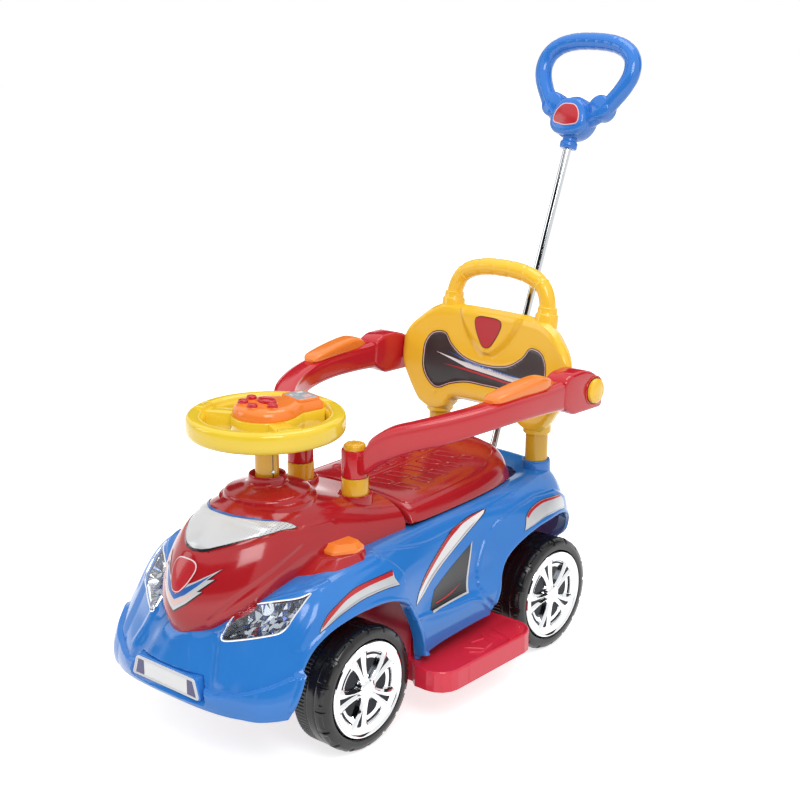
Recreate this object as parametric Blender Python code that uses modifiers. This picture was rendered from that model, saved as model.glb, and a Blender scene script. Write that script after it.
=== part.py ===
"""Ride-on push car: the solid model, in metres, nose towards -Y, the car's left side towards +X, ground at z = 0."""

import math

import bmesh
import bpy
from mathutils import Matrix, Vector

# Main sizes
WHEELBASE = 0.3472
AXLE_Z = 0.072
TYRE_R = 0.072
TYRE_OUT_X = 0.1500
TYRE_IN_X = 0.0985
FRONT_Y = -WHEELBASE / 2
REAR_Y = WHEELBASE / 2
GAP = 0.0003
RUN = 0.0002

# Body
SKIN = 0.0032
COVER_SKIN = 0.0030
BODY_TOP_Z = 0.214

# Steering
COLUMN_Y = -0.176
COLUMN_R = 0.0135
WHEEL_Z = 0.350
WHEEL_RIM_R = 0.0790
WHEEL_TUBE_R = 0.0096
WHEEL_TURN = math.radians(-12.0)
KINGPIN_X = 0.078
KINGPIN_R = 0.0050
ARM_BACK = 0.0316
CRANK = 0.0140
AXLE_R = 0.0040

# Posts, rails and backrest
FRONT_POST = (0.0436, -0.0790)
FRONT_POST_R = 0.0158
SPIGOT_R = 0.0100
COLLAR_R = 0.0154
COLLAR_Z0 = 0.2718
COLLAR_Z1 = 0.3045
REAR_POST = (0.0802, 0.2252)
REAR_POST_R = 0.0145
BACK_LEAN = math.radians(9.0)
BACK_Z = 0.270
BUTTON_TRAVEL = 0.0030

# Push pole
POLE_FOOT = Vector((0.0, 0.2010, 0.1200))
POLE_TILT = math.atan(0.3966)
POLE_R = 0.0063
HUB_ALONG = 0.5570

# Seat lid hinge
HINGE_Y = 0.2045
HINGE_Z = 0.2090
HINGE_R = 0.0020

# Seat, number plate and lamp pads
SEAT_Z = 0.2150
PLATE_BACK_Y = -0.3325
PAD_Z = 0.2145

# Buttons: the console's travel, and the middle of the arm latches
BUTTON_PRESS = 0.0018
LATCH_Y = 0.2230
LATCH_Z = 0.3310

# Storage tub and side steps of the base
TUB_HALF = 0.0760
TUB_FRONT = -0.0320
TUB_BACK = 0.1880
TUB_TOP = 0.2060
STEP_HALF = 0.1900
SWING_Y = -0.0862

# How far the backrest's sides come forward, and half its thickness
BACK_WRAP = 0.0200
BACK_HALF = 0.0150


def clear_scene():
    for item in list(bpy.data.objects):
        bpy.data.objects.remove(item, do_unlink=True)


clear_scene()
PARTS = bpy.data.collections.new("push_car")
TOOLS = bpy.data.collections.new("cutters")
for group in (PARTS, TOOLS):
    bpy.context.scene.collection.children.link(group)


def new_object(name, bm, tool=False):
    """Turns a bmesh into an object, in the collection of the car or of the cutters."""
    bm.normal_update()
    bmesh.ops.recalc_face_normals(bm, faces=bm.faces)
    if all(e.is_manifold for e in bm.edges) and bm.calc_volume(signed=True) < 0:
        bmesh.ops.reverse_faces(bm, faces=bm.faces)
    mesh = bpy.data.meshes.new(name)
    bm.to_mesh(mesh)
    bm.free()
    item = bpy.data.objects.new(name, mesh)
    (TOOLS if tool else PARTS).objects.link(item)
    if tool:
        item.hide_render = True
        item.display_type = "WIRE"
    return item


def from_lists(name, verts, faces, tool=False):
    bm = bmesh.new()
    points = [bm.verts.new(v) for v in verts]
    for face in faces:
        bm.faces.new([points[i] for i in face])
    return new_object(name, bm, tool)


def grid(name, rows, tool=False):
    """An open sheet of quads through rows of points."""
    width = len(rows[0])
    verts = [p for row in rows for p in row]
    faces = [
        (i * width + j, i * width + j + 1, (i + 1) * width + j + 1, (i + 1) * width + j)
        for i in range(len(rows) - 1)
        for j in range(width - 1)
    ]
    return from_lists(name, verts, faces, tool)


def modifier(item, kind, **settings):
    added = item.modifiers.new(kind.title(), kind)
    for key, value in settings.items():
        setattr(added, key, value)
    return added


def mirror(item):
    modifier(item, "MIRROR", use_axis=(True, False, False), use_clip=True, merge_threshold=0.00005)


def subdivide(item, levels=1):
    modifier(item, "SUBSURF", levels=levels, render_levels=levels)


def solidify(item, thickness, offset=-1.0):
    modifier(item, "SOLIDIFY", thickness=thickness, offset=offset, use_even_offset=True)


def bevel(item, width, segments=2, angle=40.0):
    modifier(item, "BEVEL", width=width, segments=segments, limit_method="ANGLE", angle_limit=math.radians(angle))


def cut(item, tool, operation="DIFFERENCE"):
    return modifier(item, "BOOLEAN", object=tool, operation=operation, solver="EXACT")


def join(item, tool):
    return cut(item, tool, "UNION")


def baked(item):
    """A bmesh of the object with its modifiers, in world space."""
    bpy.context.view_layer.update()
    graph = bpy.context.evaluated_depsgraph_get()
    seen = item.evaluated_get(graph)
    bm = bmesh.new()
    bm.from_mesh(seen.to_mesh())
    seen.to_mesh_clear()
    bm.transform(item.matrix_world)
    return bm


def freeze(item):
    """Applies the object's modifiers to its mesh."""
    bm = baked(item)
    item.modifiers.clear()
    item.matrix_world = Matrix()
    bm.to_mesh(item.data)
    bm.free()
    return item


def twin(item, name, tool=False):
    """The same shape on the other side of the car."""
    bm = baked(item)
    bmesh.ops.scale(bm, vec=(-1.0, 1.0, 1.0), verts=bm.verts)
    bmesh.ops.reverse_faces(bm, faces=bm.faces)
    return new_object(name, bm, tool)


def copy_of(item, name, tool=False):
    return new_object(name, baked(item), tool)


def offset_solid(item, name, distance):
    """A closed tool through the outside of a sheet, its open rim filled, moved outwards by a distance."""
    bm = baked(item)
    for v in bm.verts:
        v.co += v.normal * distance
    rims = [e for e in bm.edges if e.is_boundary]
    bmesh.ops.holes_fill(bm, edges=rims, sides=0)
    bmesh.ops.triangulate(bm, faces=[f for f in bm.faces if len(f.verts) > 4])
    return new_object(name, bm, True)


def box(name, low, high, round_by=0.0, segments=2, tool=False):
    bm = bmesh.new()
    bmesh.ops.create_cube(bm, size=1.0)
    for v in bm.verts:
        v.co = Vector([(low[i] + high[i]) / 2 + v.co[i] * (high[i] - low[i]) for i in range(3)])
    item = new_object(name, bm, tool)
    if round_by:
        bevel(item, round_by, segments)
    return item


def prism(name, outline, axis, low, high, tool=False):
    """An outline in the plane across an axis, drawn from low to high along it."""
    def place(a, b, c):
        return {"X": (c, a, b), "Y": (a, c, b), "Z": (a, b, c)}[axis]
    count = len(outline)
    verts = [place(a, b, low) for a, b in outline] + [place(a, b, high) for a, b in outline]
    faces = [tuple(range(count)), tuple(range(2 * count - 1, count - 1, -1))]
    faces += [(i, (i + 1) % count, count + (i + 1) % count, count + i) for i in range(count)]
    return from_lists(name, verts, faces, tool)


def turned(name, profile, centre=(0.0, 0.0, 0.0), axis="Z", steps=24, closed=False, tool=False):
    """A body of revolution. The profile holds (radius, height) pairs, and a closed one leaves a bore."""
    bm = bmesh.new()
    rings = []
    for radius, height in profile:
        if radius < 1e-6:
            rings.append([bm.verts.new((0.0, 0.0, height))])
        else:
            rings.append([
                bm.verts.new((radius * math.cos(2 * math.pi * i / steps), radius * math.sin(2 * math.pi * i / steps), height))
                for i in range(steps)
            ])
    pairs = list(zip(rings, rings[1:]))
    if closed:
        pairs.append((rings[-1], rings[0]))
    for a, b in pairs:
        for i in range(steps):
            j = (i + 1) % steps
            corners = [a[i % len(a)], a[j % len(a)], b[j % len(b)], b[i % len(b)]]
            kept = list(dict.fromkeys(corners))
            if len(kept) > 2:
                bm.faces.new(kept)
    turn = {"Z": Matrix(), "X": Matrix.Rotation(math.radians(90), 4, "Y"), "Y": Matrix.Rotation(math.radians(-90), 4, "X")}[axis]
    bm.transform(Matrix.Translation(centre) @ turn)
    return new_object(name, bm, tool)


def rod(name, radius, start, end, steps=20, tool=False):
    """A plain round bar between two points."""
    start, end = Vector(start), Vector(end)
    span = end - start
    bm = bmesh.new()
    bmesh.ops.create_cone(bm, cap_ends=True, segments=steps, radius1=radius, radius2=radius, depth=span.length)
    # A small spin keeps its corners off those of a turned piece on the same axis
    spin = Matrix.Rotation(0.05, 4, "Z")
    bm.transform(Matrix.Translation((start + end) / 2) @ span.to_track_quat("Z", "Y").to_matrix().to_4x4() @ spin)
    return new_object(name, bm, tool)


def sweep(name, stations, tool=False):
    """A bar through stations of (centre, sideways direction, half width, half height), with eight-sided sections."""
    rows = []
    for centre, side, half_w, half_h in stations:
        c, s, up = Vector(centre), Vector(side).normalized(), Vector((0.0, 0.0, 1.0))
        k = 0.62
        ring = [(1, -k), (1, k), (k, 1), (-k, 1), (-1, k), (-1, -k), (-k, -1), (k, -1)]
        rows.append([c + s * (a * half_w) + up * (b * half_h) for a, b in ring])
    verts = [p for row in rows for p in row]
    faces = []
    for i in range(len(rows) - 1):
        for j in range(8):
            k = (j + 1) % 8
            faces.append((i * 8 + j, i * 8 + k, (i + 1) * 8 + k, (i + 1) * 8 + j))
    last = (len(rows) - 1) * 8
    faces += [tuple(range(7, -1, -1)), tuple(range(last, last + 8))]
    return from_lists(name, verts, faces, tool)


def move(item, offset=(0, 0, 0), turn=None, pivot=(0, 0, 0)):
    """Moves the mesh itself, so that the object's matrix stays plain."""
    matrix = Matrix.Translation(offset)
    if turn is not None:
        angle, axis = turn
        matrix = matrix @ Matrix.Translation(pivot) @ Matrix.Rotation(angle, 4, axis) @ Matrix.Translation(-Vector(pivot))
    item.data.transform(matrix)
    return item


# Blue body: columns of points from the lower edge up to the deck, from the nose round the left side to the tail
BODY_COLUMNS = [
    [(0.000, -0.320, 0.070), (0.000, -0.337, 0.086), (0.000, -0.338, 0.108), (0.000, -0.330, 0.124), (0.000, -0.322, 0.144), (0.000, -0.304, 0.156), (0.000, -0.262, 0.158)],
    [(0.045, -0.316, 0.070), (0.050, -0.335, 0.087), (0.049, -0.334, 0.109), (0.044, -0.320, 0.128), (0.041, -0.311, 0.149), (0.038, -0.293, 0.163), (0.034, -0.252, 0.165)],
    [(0.088, -0.303, 0.070), (0.094, -0.320, 0.089), (0.090, -0.314, 0.112), (0.083, -0.297, 0.134), (0.077, -0.284, 0.164), (0.071, -0.267, 0.184), (0.060, -0.232, 0.186)],
    [(0.120, -0.284, 0.070), (0.128, -0.300, 0.090), (0.123, -0.292, 0.113), (0.112, -0.276, 0.142), (0.105, -0.261, 0.174), (0.092, -0.242, 0.199), (0.076, -0.216, 0.200)],
    [(0.140, -0.254, 0.068), (0.148, -0.268, 0.090), (0.146, -0.263, 0.116), (0.139, -0.252, 0.146), (0.129, -0.237, 0.180), (0.105, -0.222, 0.204), (0.084, -0.206, 0.202)],
    [(0.146, -0.220, 0.062), (0.151, -0.222, 0.090), (0.151, -0.222, 0.118), (0.148, -0.220, 0.150), (0.137, -0.214, 0.185), (0.110, -0.205, 0.206), (0.086, -0.196, 0.204)],
    [(0.147, -0.165, 0.062), (0.151, -0.165, 0.090), (0.152, -0.165, 0.118), (0.150, -0.165, 0.152), (0.139, -0.163, 0.187), (0.112, -0.160, 0.209), (0.088, -0.158, 0.206)],
    [(0.147, -0.112, 0.062), (0.151, -0.112, 0.090), (0.151, -0.112, 0.118), (0.149, -0.111, 0.151), (0.137, -0.110, 0.186), (0.111, -0.110, 0.211), (0.089, -0.110, 0.208)],
    [(0.150, -0.074, 0.086), (0.152, -0.076, 0.104), (0.150, -0.078, 0.120), (0.141, -0.078, 0.134), (0.130, -0.080, 0.187), (0.110, -0.080, 0.213), (0.089, -0.080, 0.210)],
    [(0.151, -0.012, 0.089), (0.153, -0.012, 0.108), (0.150, -0.012, 0.122), (0.135, -0.012, 0.131), (0.126, -0.012, 0.188), (0.108, -0.012, 0.215), (0.088, -0.012, 0.211)],
    [(0.151, 0.048, 0.092), (0.153, 0.048, 0.110), (0.150, 0.048, 0.122), (0.138, 0.050, 0.132), (0.129, 0.052, 0.187), (0.107, 0.052, 0.215), (0.086, 0.052, 0.211)],
    [(0.150, 0.100, 0.080), (0.152, 0.100, 0.108), (0.151, 0.100, 0.130), (0.148, 0.100, 0.152), (0.138, 0.102, 0.190), (0.108, 0.102, 0.216), (0.084, 0.102, 0.211)],
    [(0.145, 0.160, 0.080), (0.149, 0.162, 0.110), (0.150, 0.162, 0.138), (0.147, 0.162, 0.166), (0.136, 0.160, 0.196), (0.107, 0.158, 0.218), (0.080, 0.153, 0.212)],
    [(0.130, 0.216, 0.082), (0.134, 0.220, 0.110), (0.136, 0.221, 0.136), (0.134, 0.219, 0.166), (0.126, 0.215, 0.198), (0.103, 0.208, 0.219), (0.077, 0.190, 0.212)],
    [(0.102, 0.245, 0.084), (0.108, 0.252, 0.108), (0.111, 0.254, 0.134), (0.110, 0.252, 0.168), (0.103, 0.246, 0.202), (0.088, 0.236, 0.220), (0.060, 0.207, 0.212)],
    [(0.056, 0.256, 0.084), (0.059, 0.263, 0.108), (0.061, 0.266, 0.134), (0.061, 0.265, 0.170), (0.058, 0.260, 0.204), (0.050, 0.251, 0.220), (0.034, 0.211, 0.212)],
    [(0.000, 0.258, 0.084), (0.000, 0.266, 0.108), (0.000, 0.269, 0.134), (0.000, 0.268, 0.170), (0.000, 0.263, 0.204), (0.000, 0.254, 0.220), (0.000, 0.212, 0.212)],
]

# Red bonnet: rows from the nose back to the seat, each from its lower edge to the middle
BONNET_ROWS = [
    [(0.034, -0.290, 0.132), (0.027, -0.299, 0.132), (0.019, -0.307, 0.131), (0.010, -0.313, 0.130), (0.000, -0.315, 0.129)],
    [(0.051, -0.283, 0.150), (0.042, -0.300, 0.154), (0.028, -0.316, 0.157), (0.014, -0.326, 0.158), (0.000, -0.330, 0.158)],
    [(0.069, -0.261, 0.172), (0.058, -0.284, 0.180), (0.040, -0.301, 0.186), (0.020, -0.318, 0.193), (0.000, -0.325, 0.197)],
    [(0.077, -0.240, 0.190), (0.070, -0.259, 0.204), (0.052, -0.276, 0.217), (0.027, -0.293, 0.229), (0.000, -0.301, 0.235)],
    [(0.082, -0.211, 0.197), (0.078, -0.227, 0.224), (0.060, -0.241, 0.246), (0.031, -0.251, 0.260), (0.000, -0.255, 0.266)],
    [(0.085, -0.176, 0.200), (0.080, -0.184, 0.234), (0.064, -0.190, 0.260), (0.033, -0.195, 0.275), (0.000, -0.197, 0.280)],
    [(0.089, -0.134, 0.202), (0.082, -0.134, 0.233), (0.064, -0.135, 0.256), (0.033, -0.136, 0.266), (0.000, -0.136, 0.268)],
    [(0.093, -0.090, 0.204), (0.085, -0.090, 0.231), (0.064, -0.090, 0.245), (0.033, -0.090, 0.249), (0.000, -0.090, 0.250)],
    [(0.097, -0.0455, 0.205), (0.088, -0.0455, 0.229), (0.064, -0.0455, 0.240), (0.032, -0.0455, 0.243), (0.000, -0.0455, 0.244)],
]

# Red seat lid: rows from front to rear, each from its lower edge to the middle
SEAT_ROWS = [
    [(0.0990, -0.0420, SEAT_Z), (0.0930, -0.0420, SEAT_Z), (0.0800, -0.0420, SEAT_Z), (0.0450, -0.0420, SEAT_Z), (0.0, -0.0420, SEAT_Z)],
    [(0.0995, -0.0425, 0.2180), (0.0950, -0.0425, 0.2250), (0.0800, -0.0425, 0.2350), (0.0450, -0.0425, 0.2385), (0.0, -0.0425, 0.2395)],
    [(0.0995, -0.0300, 0.2150), (0.0960, -0.0300, 0.2280), (0.0810, -0.0300, 0.2385), (0.0450, -0.0300, 0.2420), (0.0, -0.0300, 0.2430)],
    [(0.0985, 0.0300, 0.2150), (0.0950, 0.0300, 0.2285), (0.0800, 0.0300, 0.2390), (0.0440, 0.0300, 0.2420), (0.0, 0.0300, 0.2430)],
    [(0.0960, 0.0900, 0.2150), (0.0920, 0.0900, 0.2300), (0.0770, 0.0900, 0.2410), (0.0420, 0.0900, 0.2440), (0.0, 0.0900, 0.2450)],
    [(0.0900, 0.1450, 0.2150), (0.0850, 0.1440, 0.2330), (0.0700, 0.1430, 0.2450), (0.0380, 0.1420, 0.2480), (0.0, 0.1420, 0.2490)],
    [(0.0740, 0.1830, 0.2150), (0.0690, 0.1790, 0.2350), (0.0560, 0.1740, 0.2480), (0.0310, 0.1740, 0.2510), (0.0, 0.1740, 0.2520)],
    [(0.0420, 0.1990, 0.2150), (0.0400, 0.1950, 0.2330), (0.0340, 0.1900, 0.2460), (0.0200, 0.1890, 0.2500), (0.0, 0.1890, 0.2510)],
    [(0.0400, 0.2010, SEAT_Z), (0.0360, 0.2020, SEAT_Z), (0.0280, 0.2030, SEAT_Z), (0.0150, 0.2040, SEAT_Z), (0.0, 0.2040, SEAT_Z)],
]

FRONT_ARCH = [(-0.2860, 0.03), (-0.2850, 0.0860), (-0.2760, 0.1040), (-0.2630, 0.1280), (-0.2460, 0.1470), (-0.2240, 0.1590), (-0.1940, 0.1650), (-0.1640, 0.1660), (-0.1380, 0.1640), (-0.1160, 0.1570), (-0.1020, 0.1460), (-0.0930, 0.1260), (-0.0850, 0.1000), (-0.0790, 0.0700), (-0.0790, 0.03)]
REAR_ARCH = [(0.0400, 0.03), (0.0420, 0.0960), (0.0520, 0.1120), (0.0640, 0.1330), (0.0790, 0.1500), (0.1010, 0.1620), (0.1300, 0.1700), (0.1600, 0.1730), (0.1980, 0.1720), (0.2230, 0.1630), (0.2400, 0.1480), (0.2500, 0.1250), (0.2540, 0.1000), (0.2540, 0.03)]


def body_sheet(name, levels=1, tool=False):
    """The body's outside, open below and inside the deck."""
    item = grid(name, BODY_COLUMNS, tool)
    mirror(item)
    subdivide(item, levels)
    return item


def pair_of_arches(outline, name):
    left = prism(name + "_l", outline, "X", 0.092, 0.190, tool=True)
    right = prism(name + "_r", outline, "X", -0.190, -0.092, tool=True)
    return left, right


HEADLIGHT_EDGE = [(0.0600, 0.1535), (0.0760, 0.1830), (0.0930, 0.1925), (0.1185, 0.1985), (0.1150, 0.1840), (0.1080, 0.1640), (0.0860, 0.1540)]


def headlight_prism(name, grow, low, high):
    """The headlight's outline drawn backwards into the car, grown or shrunk about its middle."""
    cx = sum(a for a, _ in HEADLIGHT_EDGE) / len(HEADLIGHT_EDGE)
    cz = sum(b for _, b in HEADLIGHT_EDGE) / len(HEADLIGHT_EDGE)
    outline = []
    for a, b in HEADLIGHT_EDGE:
        away = Vector((a - cx, b - cz))
        away *= (away.length + grow) / away.length
        outline.append((cx + away.x, cz + away.y))
    return prism(name, outline, "Y", low, high, tool=True)


def build_body():
    body = body_sheet("body_shell")
    solidify(body, SKIN)
    for outline, name in ((FRONT_ARCH, "front_arch"), (REAR_ARCH, "rear_arch")):
        for tool in pair_of_arches(outline, name):
            cut(body, tool)
    lamp_hole = headlight_prism("lamp_hole_l", 0.0004, -0.350, -0.214)
    cut(body, lamp_hole)
    cut(body, twin(lamp_hole, "lamp_hole_r", tool=True))
    cut(body, box("plate_recess", (-0.0575, -0.370, 0.0850), (0.0575, PLATE_BACK_Y, 0.1120), tool=True))
    for side in (1, -1):
        x, y = side * REAR_POST[0], REAR_POST[1]
        socket = turned("post_socket", [(0, 0.1900), (0.0185, 0.1900), (0.0178, 0.2235), (0.0170, 0.2255), (0, 0.2255)], (x, y, 0), steps=20, tool=True)
        join(body, socket)
    for side in (1, -1):
        x, y = side * REAR_POST[0], REAR_POST[1]
        cut(body, rod("post_bore", REAR_POST_R + GAP, (x, y, 0.1935), (x, y, 0.2400), tool=True))
    cut(body, rod("pole_hole", POLE_R + GAP, POLE_FOOT, pole_at(0.150), tool=True))
    return body


def pole_at(along):
    return POLE_FOOT + Vector((0.0, math.sin(POLE_TILT), math.cos(POLE_TILT))) * along


def build_plate():
    outline = [(-0.0545, 0.0875), (0.0545, 0.0875), (0.0550, 0.0920), (0.0465, 0.1085), (0.0440, 0.1100), (-0.0440, 0.1100), (-0.0465, 0.1085), (-0.0550, 0.0920)]
    plate = prism("number_plate", outline, "Y", PLATE_BACK_Y - 0.0023, PLATE_BACK_Y - GAP)
    return plate


def build_bonnet(sheet_out):
    bonnet = grid("bonnet_cover", BONNET_ROWS)
    mirror(bonnet)
    subdivide(bonnet, 1)
    solidify(bonnet, COVER_SKIN)
    for side in (1, -1):
        low = [(0.0620, -0.1980), (0.1120, -0.2000), (0.1200, -0.1900), (0.1215, -0.1450), (0.1130, -0.1260), (0.0640, -0.1180)]
        high = [(0.0620, -0.1780), (0.0970, -0.1800), (0.1060, -0.1720), (0.1085, -0.1440), (0.1020, -0.1310), (0.0640, -0.1230)]
        verts = [(side * a, b, 0.1880) for a, b in low] + [(side * a, b, PAD_Z) for a, b in high]
        faces = [tuple(range(6)), tuple(range(11, 5, -1))] + [(i, (i + 1) % 6, 6 + (i + 1) % 6, 6 + i) for i in range(6)]
        pad = from_lists("lamp_pad", verts, faces, tool=True)
        join(bonnet, pad)
    collar = turned("collar_body", [(0, 0.2560), (0.0500, 0.2560), (0.0490, 0.2715), (0.0460, 0.2745), (0.0290, 0.2790), (0.0225, 0.2820), (0.0215, 0.2900), (0.0200, 0.2910), (0, 0.2910)], (0, COLUMN_Y, 0), steps=28, tool=True)
    join(bonnet, collar)
    for side in (1, -1):
        base = turned("post_base", [(0, 0.2360), (0.0210, 0.2360), (0.0200, 0.2510), (0.0185, 0.2520), (0, 0.2520)], (side * FRONT_POST[0], FRONT_POST[1], 0), steps=24, tool=True)
        join(bonnet, base)
    cut(bonnet, sheet_out)
    bore = COLUMN_R + 0.0008
    hollow = turned("collar_hollow", [(0, 0.2300), (0.0420, 0.2300), (0.0410, 0.2700), (0.0185, 0.2735), (bore, 0.2738), (bore, 0.3100), (0, 0.3100)], (0, COLUMN_Y, 0), steps=24, tool=True)
    cut(bonnet, hollow)
    for side in (1, -1):
        x, y = side * FRONT_POST[0], FRONT_POST[1]
        cut(bonnet, rod("front_post_bore", FRONT_POST_R + GAP, (x, y, 0.2380), (x, y, 0.2600), steps=24, tool=True))
    return bonnet


def build_seat():
    seat = grid("seat_lid", SEAT_ROWS)
    mirror(seat)
    subdivide(seat, 1)
    solidify(seat, COVER_SKIN)
    for side in (1, -1):
        low, high = sorted((side * 0.0180, side * 0.0240))
        lug = [(HINGE_Y - 0.0060, HINGE_Z - 0.0035), (HINGE_Y + 0.0030, HINGE_Z - 0.0035), (HINGE_Y + 0.0030, HINGE_Z + 0.0028), (HINGE_Y - 0.0012, HINGE_Z + 0.0080), (HINGE_Y - 0.0034, 0.2250), (HINGE_Y - 0.0060, 0.2250)]
        join(seat, prism("lid_lug", lug, "X", low, high, tool=True))
    cut(seat, rod("lid_pin_bore", HINGE_R + RUN, (-0.066, HINGE_Y, HINGE_Z), (0.066, HINGE_Y, HINGE_Z), steps=16, tool=True))
    return seat


def build_lamps():
    for side, tag in ((1, "l"), (-1, "r")):
        outline = [(side * a, b) for a, b in ((0.0860, -0.1710), (0.0990, -0.1715), (0.1060, -0.1640), (0.1065, -0.1430), (0.1010, -0.1350), (0.0875, -0.1310))]
        lamp = prism("fender_lamp_" + tag, outline, "Z", PAD_Z + GAP, PAD_Z + 0.0095)
        bevel(lamp, 0.0030, 2)


def build_headlights(sheet):
    lens_out = offset_solid(sheet, "lens_outside", 0.0006)
    lens_in = offset_solid(sheet, "lens_inside", -0.0016)
    bowl_out = offset_solid(sheet, "bowl_outside", -0.0020)
    lens = headlight_prism("headlight_lens_l", 0.0, -0.345, -0.218)
    lens.hide_render = False
    TOOLS.objects.unlink(lens)
    PARTS.objects.link(lens)
    cut(lens, lens_out, "INTERSECT")
    cut(lens, lens_in)
    bowl = headlight_prism("headlight_bowl_l", -0.0004, -0.345, -0.2300)
    bowl.hide_render = False
    TOOLS.objects.unlink(bowl)
    PARTS.objects.link(bowl)
    cut(bowl, bowl_out, "INTERSECT")
    for x, y, z, r in ((0.0810, -0.2960, 0.1700, 0.0125), (0.1040, -0.2780, 0.1820, 0.0125)):
        ball = turned("lamp_bowl", [(0, -r), (r * 0.71, -r * 0.71), (r, 0), (r * 0.71, r * 0.71), (0, r)], (x, y, z), axis="Y", steps=14, tool=True)
        cut(bowl, ball)
    freeze(lens)
    freeze(bowl)
    twin(lens, "headlight_lens_r")
    twin(bowl, "headlight_bowl_r")


def turn_wheel(item):
    """Sets a piece of the steering wheel at the angle at which it is photographed."""
    return move(item, turn=(WHEEL_TURN, "Z"), pivot=(0, COLUMN_Y, 0))


def build_steering():
    bar = rod("steering_rod", 0.0040, (0, COLUMN_Y, 0.0810), (0, COLUMN_Y, 0.3430), steps=16)
    crank = box("crank_arm", (-0.0060, COLUMN_Y - 0.0060, 0.0790), (0.0060, COLUMN_Y + CRANK + 0.0045, 0.0850), tool=True)
    join(bar, crank)
    join(bar, rod("crank_pin", 0.0030, (0, COLUMN_Y + CRANK, 0.0800), (0, COLUMN_Y + CRANK, 0.0665), steps=12, tool=True))
    bore = 0.0040 + GAP
    turned("steering_column", [(bore, 0.2600), (COLUMN_R, 0.2600), (COLUMN_R, 0.3392), (bore, 0.3392)], (0, COLUMN_Y, 0), closed=True, steps=24)

    steps, sides = 32, 8
    bm = bmesh.new()
    rings = []
    for i in range(steps):
        a = 2 * math.pi * i / steps
        ring = []
        for j in range(sides):
            b = 2 * math.pi * j / sides
            r = WHEEL_RIM_R + WHEEL_TUBE_R * math.cos(b)
            ring.append(bm.verts.new((r * math.cos(a), COLUMN_Y + r * math.sin(a), WHEEL_Z + WHEEL_TUBE_R * 1.02 * math.sin(b))))
        rings.append(ring)
    for i in range(steps):
        for j in range(sides):
            n, k = (i + 1) % steps, (j + 1) % sides
            bm.faces.new((rings[i][j], rings[n][j], rings[n][k], rings[i][k]))
    wheel = new_object("steering_wheel", bm)
    hub = prism("wheel_hub", console_outline(0.0380), "Z", 0.3395, 0.3590, tool=True)
    move(hub, (0, COLUMN_Y, 0))
    join(wheel, hub)
    for angle in (90, 210, 330):
        a = math.radians(angle)
        spoke = box("spoke", (0.0200, -0.0100, 0.3425), (WHEEL_RIM_R + 0.0010, 0.0100, 0.3560), 0.0030, 1, tool=True)
        freeze(spoke)
        move(spoke, (0, COLUMN_Y, 0), (a, "Z"))
        join(wheel, spoke)
        tab = box("rim_tab", (WHEEL_RIM_R - 0.0085, -0.0130, 0.3520), (WHEEL_RIM_R + 0.0030, 0.0130, 0.3622), 0.0025, 1, tool=True)
        freeze(tab)
        move(tab, (0, COLUMN_Y, 0), (a, "Z"))
        join(wheel, tab)
    cut(wheel, rod("wheel_bore", bore, (0, COLUMN_Y, 0.3300), (0, COLUMN_Y, 0.3450), steps=24, tool=True))
    freeze(wheel)
    turn_wheel(wheel)

    console = prism("wheel_console", console_outline(0.0375), "Z", 0.3593, 0.3720)
    move(console, (0, COLUMN_Y, 0))
    bevel(console, 0.0045, 2)
    freeze(console)
    for x, y, rx, ry in BUTTONS:
        well = turned("button_well", [(0, 0.3640), (1.0, 0.3640), (1.0, 0.3800), (0, 0.3800)], steps=16, tool=True)
        shape_button(well, x, y, rx + 0.0004, ry + 0.0004)
        cut(console, well)
    cut(console, box("screen_recess", (-0.0165, COLUMN_Y + 0.0330, 0.3705), (0.0165, COLUMN_Y + 0.0600, 0.3800), tool=True))
    freeze(console)
    turn_wheel(console)
    screen = box("console_screen", (-0.0160, COLUMN_Y + 0.0335, 0.3708), (0.0160, COLUMN_Y + 0.0595, 0.3722))
    turn_wheel(screen)
    for k, (x, y, rx, ry) in enumerate(BUTTONS, 1):
        low = 0.3640 + BUTTON_PRESS + GAP
        key = turned("console_button_%d" % k, [(0, low), (1.0, low), (1.0, 0.3740), (0.86, 0.3758), (0, 0.3764)], steps=16)
        shape_button(key, x, y, rx, ry)
        turn_wheel(key)


# Middle (x, y) from the column's axis and half sizes of the console's buttons
BUTTONS = [(0.0000, 0.0020, 0.0125, 0.0085), (-0.0215, -0.0010, 0.0062, 0.0055), (-0.0140, -0.0180, 0.0062, 0.0055), (0.0060, -0.0235, 0.0062, 0.0055), (0.0215, -0.0090, 0.0062, 0.0055)]


def shape_button(item, x, y, rx, ry):
    item.data.transform(Matrix.Translation((x, COLUMN_Y + y, 0)) @ Matrix.Diagonal((rx, ry, 1, 1)))


def console_outline(radius):
    """A round end to the front and a narrower straight end towards the driver."""
    points = []
    for i in range(13):
        a = math.radians(150 + i * 20)
        points.append((radius * math.cos(a), radius * math.sin(a)))
    narrow = radius * 0.58
    points += [(narrow, 0.0330), (narrow, 0.0610), (narrow - 0.0040, 0.0650), (-narrow + 0.0040, 0.0650), (-narrow, 0.0610), (-narrow, 0.0330)]
    return points


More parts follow.
